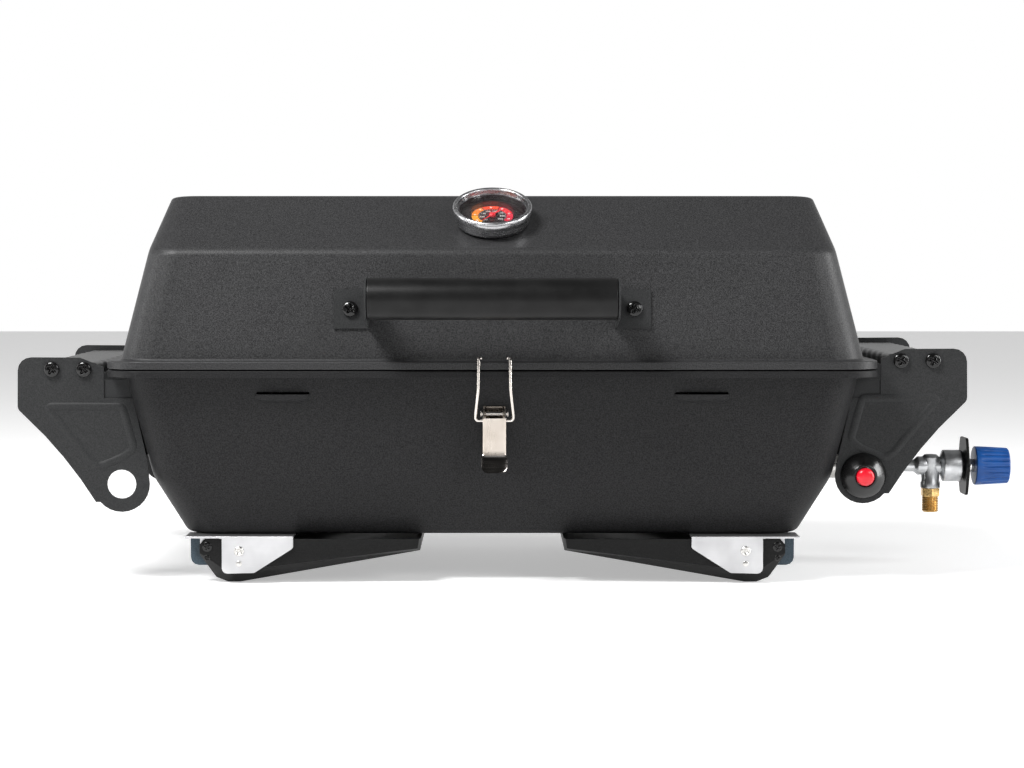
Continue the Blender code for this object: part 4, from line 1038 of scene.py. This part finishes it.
def clear_glass():
    """Thin glass: mostly straight through, with a sharp reflection."""
    finish, shader = start_finish("dial_glass", 0.03)
    two_tone(finish, shader, noise(finish, place_node(finish), 200.0), (0.94, 0.96, 0.97), (0.97, 0.98, 0.98))
    shader.inputs["IOR"].default_value = 1.45
    shader.inputs["Transmission Weight"].default_value = 1.0
    shader.inputs["Alpha"].default_value = 0.12
    return finish


GLASS = clear_glass()
print("dial finishes:", 4 + len(BAND_INKS))

# %% Case, dial, print and needle
case_profile = eased([
    (0.0262, 0.0107), (0.0266, 0.0146), (0.0284, 0.0152), (0.0298, 0.0140), (0.0298, 0.0104),
    (0.0286, 0.0078), (0.0276, 0.0028), (0.0262, 0.0008), (0.0040, 0.0008), (0.0040, -0.0420), (0.0, -0.0420)],
    [0, 0.0008, 0.0012, 0.0014, 0.0016, 0.0016, 0.0012, 0.0006, 0.0004, 0.0006, 0], 6)
case_inside = [(0.0, 0.0045), (0.0255, 0.0045), (0.0255, 0.0107)]
case = lathe("thermometer_bezel", [*case_inside, *case_profile], DIAL_AT, DIAL_UP, 96, 46)
mount(case, BEZEL_STEEL, "lid", "thermometer_case")
SLEEVE = [(0.0247, 0.0106), (0.0254, 0.0106), (0.0254, 0.0057), (0.0247, 0.0057), (0.0247, 0.0106)]
FACE = [(0.0, 0.0056), (0.0246, 0.0056), (0.0251, 0.0053), (0.0251, 0.0049), (0.0, 0.0049)]
PANE = [(0.0, 0.0122), (0.0260, 0.0120), (0.0264, 0.0118), (0.0264, 0.0110), (0.0, 0.0110)]
mount(lathe("bezel_sleeve", SLEEVE, DIAL_AT, DIAL_UP, 96), DIAL_BLACK, "lid", slot="dial_print")
mount(lathe("dial_face", FACE, DIAL_AT, DIAL_UP, 96), DIAL_BLACK, "lid", "thermometer_dial")
mount(lathe("dial_glass", PANE, DIAL_AT, DIAL_UP, 96), GLASS, "lid", "thermometer_glass")
keep("thermometer_nut", 0.0003, BARE_STEEL, "lid")
BAND_RADII, BAND_LAP = (0.0108, 0.0156), 0.03
TICKS, TICK_HALF, TICK_OUTER = 28, 0.014, 0.0104
TICK_INNER, LONG_TICK_INNER, LONG_TICK_EVERY = 0.0099, 0.0095, 4
FIGURES, FIGURE_RADIUS, FIGURE_SIZE = 8, 0.0076, 0.0027
MARK_HALF, MARK_RADII = 0.045, (0.0124, 0.0140)
band_edges = np.linspace(COLD, HOT, len(BAND_INKS) + 1)
for number, (ink, start, stop) in enumerate(zip(BAND_INKS, band_edges, band_edges[1:]), 1):
    patch = dial_patch(f"dial_band_{number}", (start - BAND_LAP, stop + BAND_LAP), BAND_RADII, PRINT_HEIGHT)
    mount(patch, ink, "lid", slot="dial_print")
figure_turns = np.linspace(COLD, HOT, FIGURES)
marks = []
for number, turn in enumerate(np.linspace(COLD, HOT, TICKS)):
    inner = TICK_INNER if number % LONG_TICK_EVERY else LONG_TICK_INNER
    marks.append(dial_patch(f"tick_{number}", (turn - TICK_HALF, turn + TICK_HALF), (inner, TICK_OUTER),
                            PRINT_HEIGHT))
for number, turn in enumerate((figure_turns[:-1] + figure_turns[1:]) / 2):
    marks.append(dial_patch(f"mark_{number}", (turn - MARK_HALF, turn + MARK_HALF), MARK_RADII,
                            PRINT_HEIGHT + PRINT_THICK))
mount(joined("dial_ticks", marks), DIAL_WHITE, "lid", slot="dial_print")


def dial_number(text, turn):
    """Printed figures, standing upright on the dial."""
    words = bpy.data.curves.new("figures", "FONT")
    words.body = text
    words.size = FIGURE_SIZE
    words.align_x = "CENTER"
    words.align_y = "CENTER"
    words.extrude = 0.00004
    holder = linked("figures", words)
    mesh = as_modified(holder)
    bpy.data.objects.remove(holder)
    points = np.zeros(len(mesh.vertices) * 3)
    mesh.vertices.foreach_get("co", points)
    centre = on_dial(turn, FIGURE_RADIUS, PRINT_HEIGHT) + MIDDLE
    points = centre + points.reshape(-1, 3) @ np.stack([DIAL_RIGHT, DIAL_TOP, DIAL_UP])
    mesh.vertices.foreach_set("co", points.ravel())
    mesh.update()
    return linked("figures", mesh)


numbers = [dial_number(str(50 + 50 * i), turn) for i, turn in enumerate(figure_turns)]
mount(joined("dial_numbers", numbers), DIAL_WHITE, "lid", slot="dial_print")


NEEDLE_TAIL, NEEDLE_TIP = -0.0080, 0.0120
NEEDLE_HALF, NEEDLE_TAPER = 0.0009, 0.85
BLADE_TOP, BLADE_BOTTOM = 0.00725, 0.00695
HUB = [(0.0, 0.0084), (0.0016, 0.0083), (0.0024, 0.0076), (0.0026, 0.0060), (0.0, 0.0060)]


def dial_needle():
    """A flat pointer: half width = root (1 - taper t) along its length, with a turned hub."""
    share = np.linspace(0.0, 1.0, 24)[:, None, None]
    length = NEEDLE_TAIL + (NEEDLE_TIP - NEEDLE_TAIL) * share
    half = NEEDLE_HALF * (1.0 - NEEDLE_TAPER * share)
    sine, cosine = math.sin(COLD), math.cos(COLD)
    along = -sine * DIAL_RIGHT + cosine * DIAL_TOP
    across = cosine * DIAL_RIGHT + sine * DIAL_TOP
    corner = np.array([(1, BLADE_TOP), (-1, BLADE_TOP), (-1, BLADE_BOTTOM), (1, BLADE_BOTTOM)])
    grid = DIAL_AT + length * along + half * corner[:, :1] * across + corner[:, 1:] * DIAL_UP
    hub = lathe("needle_hub", HUB, DIAL_AT, DIAL_UP, 32)
    return joined("dial_needle", [skin("needle_blade", grid, 30), hub])


mount(dial_needle(), NEEDLE_PAINT, "needle", "thermometer_needle")
print("thermometer with", TICKS, "ticks")

# %% [markdown]
# ## Handle and hinges
#
# The handle is a painted tube between two plates. Its profile is turned, so that its rims are softly rolled
# over. The plates and the hinge leaves are softened copies.

# %% Handle
handle_low, handle_high = span("handle_tube")
handle_at = (0.0, (handle_low.y + handle_high.y) / 2, (handle_low.z + handle_high.z) / 2)
handle_radius = (handle_high.z - handle_low.z) / 2
handle_bore = 0.0128
handle_end = handle_high.x
handle_profile = eased([
    (handle_bore, 0.0), (handle_bore, handle_end), (handle_radius, handle_end), (handle_radius, -handle_end),
    (handle_bore, -handle_end), (handle_bore, 0.0)], [0, 0.0004, 0.0009, 0.0009, 0.0004, 0], 6)
mount(lathe("handle_sleeve", handle_profile, handle_at, ALONG_X, 96), GRIP_PLASTIC, "lid", "handle_tube")
for _, side_name in SIDES:
    keep(f"handle_bracket_{side_name}", PLATE_EDGE, PLATE_PAINT, "lid")
    keep(f"hinge_leaf_lower_{side_name}", 0.0003, PLATE_PAINT)
    keep(f"hinge_leaf_upper_{side_name}", 0.0003, PLATE_PAINT, "lid")
    keep(f"hinge_pin_{side_name}", 0.0, BARE_STEEL)
print("handle radius", round(handle_radius * 1000, 1), "mm")

# %% [markdown]
# ## The draw latch
#
# A plated lever swings on a small base and pulls a wire loop down over the lid's rim. The lever's face is a
# strip that flares into a tab, so it is a surface of two parameters with a thickness. The wire is a circle
# carried along an eased path.


# %% Lever, wire and base
LATCH_X, PIVOT_Y, PIVOT_Z = joint_place("latch_lever_turn")
BAIL_Y, BAIL_Z = joint_place("latch_bail_turn")[1:]
LEVER_SIDE = [(-0.1679, 0.1262), (-0.1679, 0.0990), (-0.1731, 0.0864)]      # (y, z) down the lever's face
LEVER_HALF, LEVER_THICK = 0.00850, 0.0010
TAB_HEIGHT = 0.0125          # height of the flared tab above the lever's lower end
TAB_FLARE, TAB_CORNER = 0.0011, 0.0052
EDGE_ROLL, TAB_LIP = 0.0007, 0.0008


def latch_face():
    """Strip at (s, u): an eased side view along s, whose half width flares into a tab with round corners."""
    side_view = eased(LEVER_SIDE, [0, 0.0030, 0], 9)
    dense = np.linspace(0.0, 1.0, 14)[1:, None]
    path = np.vstack([side_view[:1], side_view[0] + (side_view[1] - side_view[0]) * dense, side_view[2:-1]])
    tip = np.linspace(0.0, 1.0, 20)[1:, None]
    path = np.vstack([path, path[-1] + (side_view[-1] - path[-1]) * tip])
    u = np.linspace(-1.0, 1.0, 33)[None, :]
    low = path[:, 1:] - path[-1, 1]
    flare = TAB_FLARE * np.clip((TAB_HEIGHT - low) / 0.0012 + 0.5, 0, 1)
    short = np.clip(TAB_CORNER - low, 0, TAB_CORNER)
    lost = TAB_CORNER - np.sqrt(np.clip(TAB_CORNER ** 2 - short ** 2, 0, None))
    x = LATCH_X + (LEVER_HALF + flare - lost) * u
    rolled = EDGE_ROLL * np.abs(u) ** 10 * np.clip((low - TAB_HEIGHT) / 0.001, 0, 1)
    lip = TAB_LIP * np.clip((TAB_HEIGHT - low) / 0.001, 0, 1) * (1 - np.abs(u) ** 6)
    outer = np.stack([x, path[:, :1] + rolled + lip * 0.6, path[:, 1:] + 0 * x], -1)
    inner = outer + np.array([0.0, LEVER_THICK, 0.0])
    strip = np.hstack([outer, inner[:, ::-1]])
    first_of_tab = int(np.argmax(low[:, 0] < TAB_HEIGHT))
    return skin("latch_face", strip[:first_of_tab], 45), skin("latch_tab", strip[first_of_tab - 1:], 45)


def sheet_plate(name, outline, x, thickness):
    """A flat (y, z) outline given a thickness along x."""
    outline = np.asarray(outline, float)
    grid = np.stack([np.column_stack([np.full(len(outline), at), outline]) for at in (x, x + thickness)])
    piece = skin(name, grid, 30)
    round_edges(piece, 0.0002)
    return piece


face_piece, tab_piece = latch_face()
mount(face_piece, LATCH_NICKEL, "latch_lever", "latch_lever")
# The tab carries the darker painted-shade copy of the lever's nickel.
mount(tab_piece, TAB_SHADE_NICKEL, "latch_lever", slot="nickel_plate")
KNUCKLE = 0.0034
CHEEK_SHEET = 0.0012
knuckle_turns = np.radians(np.linspace(150, -60, 15))
knuckle = np.column_stack([PIVOT_Y + KNUCKLE * np.cos(knuckle_turns),
                           PIVOT_Z + KNUCKLE * np.sin(knuckle_turns)])
cheek = np.vstack([[(-0.1674, 0.1040), (-0.1676, 0.1262)], knuckle, [(-0.1600, 0.1180)]])
for number, x in enumerate((0.0073, -0.0085), 1):
    plate = sheet_plate(f"lever_cheek_{number}", cheek, LATCH_X + x, CHEEK_SHEET)
    mount(plate, LATCH_NICKEL, "latch_lever", slot="nickel_plate")
keep("latch_base", 0.0002, BASE_NICKEL)
keep("latch_pin", 0.0002, WIRE_NICKEL)
half_route = [(0.0095, -0.1672, 0.1702), (0.0113, -0.1680, 0.1703), (0.0116, -0.1712, 0.1703),
              (0.0116, -0.1729, 0.1688), (0.0116, -0.1730, 0.1620), (0.0118, -0.1728, 0.1480),
              (0.0128, -0.1705, 0.1385), (0.0138, -0.1672, 0.1300), (0.0140, -0.1650, 0.1262),
              (0.0128, BAIL_Y, BAIL_Z), (0.0110, BAIL_Y, BAIL_Z)]
route = [(LATCH_X + sign * x, y, z) for sign, half in ((-1, half_route), (1, half_route[::-1]))
         for x, y, z in half]
WIRE_RADIUS, WIRE_BEND = 0.00115, 0.0008
bail = tube("latch_wire", eased(route, [WIRE_BEND] * len(route), 4), WIRE_RADIUS, 16)
mount(bail, WIRE_NICKEL, "latch_bail", "latch_bail")
print("latch at x =", round(float(LATCH_X), 4))

# %% [markdown]
# ## Floor and light
#
# Product light: a pale floor and surround, a broad soft source high on the left, a weaker one on the right,
# and two strip lights at the sides that draw a bright edge down the pressed corners.

# %% Floor
FLOOR_HALF, FLOOR_TOP, FLOOR_BOTTOM = 6.0, -0.0003, -0.02
FLOOR_GLOW = 0.42
floor = block("floor", (-FLOOR_HALF, -FLOOR_HALF, FLOOR_BOTTOM), (FLOOR_HALF, FLOOR_HALF, FLOOR_TOP))
floor_paper = moulded("floor_paper", (0.80, 0.80, 0.80), (0.82, 0.82, 0.82), 0.8)
floor_shader = floor_paper.node_tree.nodes["Principled BSDF"]
floor_shader.inputs["Emission Color"].default_value = (1.0, 1.0, 1.0, 1.0)
floor_shader.inputs["Emission Strength"].default_value = FLOOR_GLOW
floor.data.materials.append(floor_paper)


# Each row takes a range of directions to a range of brightness: brighter to the rear, darker overhead.
SKY_ROWS = (("Y", (-0.5, 0.6), (0.38, 1.0)), ("Z", (0.16, 0.50), (1.0, 0.22)))


def studio_world():
    """Strength = towards(y) ceiling(z), each a smooth step over the directions of the sky."""
    world = bpy.data.worlds.new("studio")
    world.use_nodes = True
    tree = world.node_tree
    coordinates = tree.nodes.new("ShaderNodeTexCoord")
    split = tree.nodes.new("ShaderNodeSeparateXYZ")
    tree.links.new(coordinates.outputs["Generated"], split.inputs["Vector"])
    product = tree.nodes.new("ShaderNodeMath")
    product.operation = "MULTIPLY"
    for number, (output, directions, strengths) in enumerate(SKY_ROWS):
        step = map_range(tree, split.outputs[output], directions, strengths, "SMOOTHSTEP")
        tree.links.new(step, product.inputs[number])
    background = tree.nodes["Background"]
    tree.links.new(product.outputs[0], background.inputs["Strength"])
    background.inputs["Color"].default_value = (1.0, 1.0, 1.0, 1.0)
    return world


bpy.context.scene.world = studio_world()


def soft_light(name, place, target, width, height, power):
    """A rectangular source that faces a point."""
    data = bpy.data.lights.new(name, "AREA")
    data.shape = "RECTANGLE"
    data.size, data.size_y = width, height
    data.energy = power
    light = linked(name, data)
    light.location = place
    light.rotation_euler = (Vector(target) - Vector(place)).to_track_quat("-Z", "Y").to_euler()


soft_light("key", (-1.0, -1.0, 1.7), (-0.2, 0, 0.25), 0.8, 0.6, 64.0)
soft_light("fill", (1.5, -1.6, 1.2), (0, 0, 0.15), 1.0, 0.8, 16.0)
soft_light("left_strip", (-1.5, -0.15, 0.5), (-0.25, 0, 0.18), 0.35, 1.0, 6.0)
soft_light("right_strip", (1.5, -0.15, 0.5), (0.25, 0, 0.18), 0.35, 1.0, 17.0)
bpy.context.scene.view_settings.view_transform = "Standard"
print("four lights")
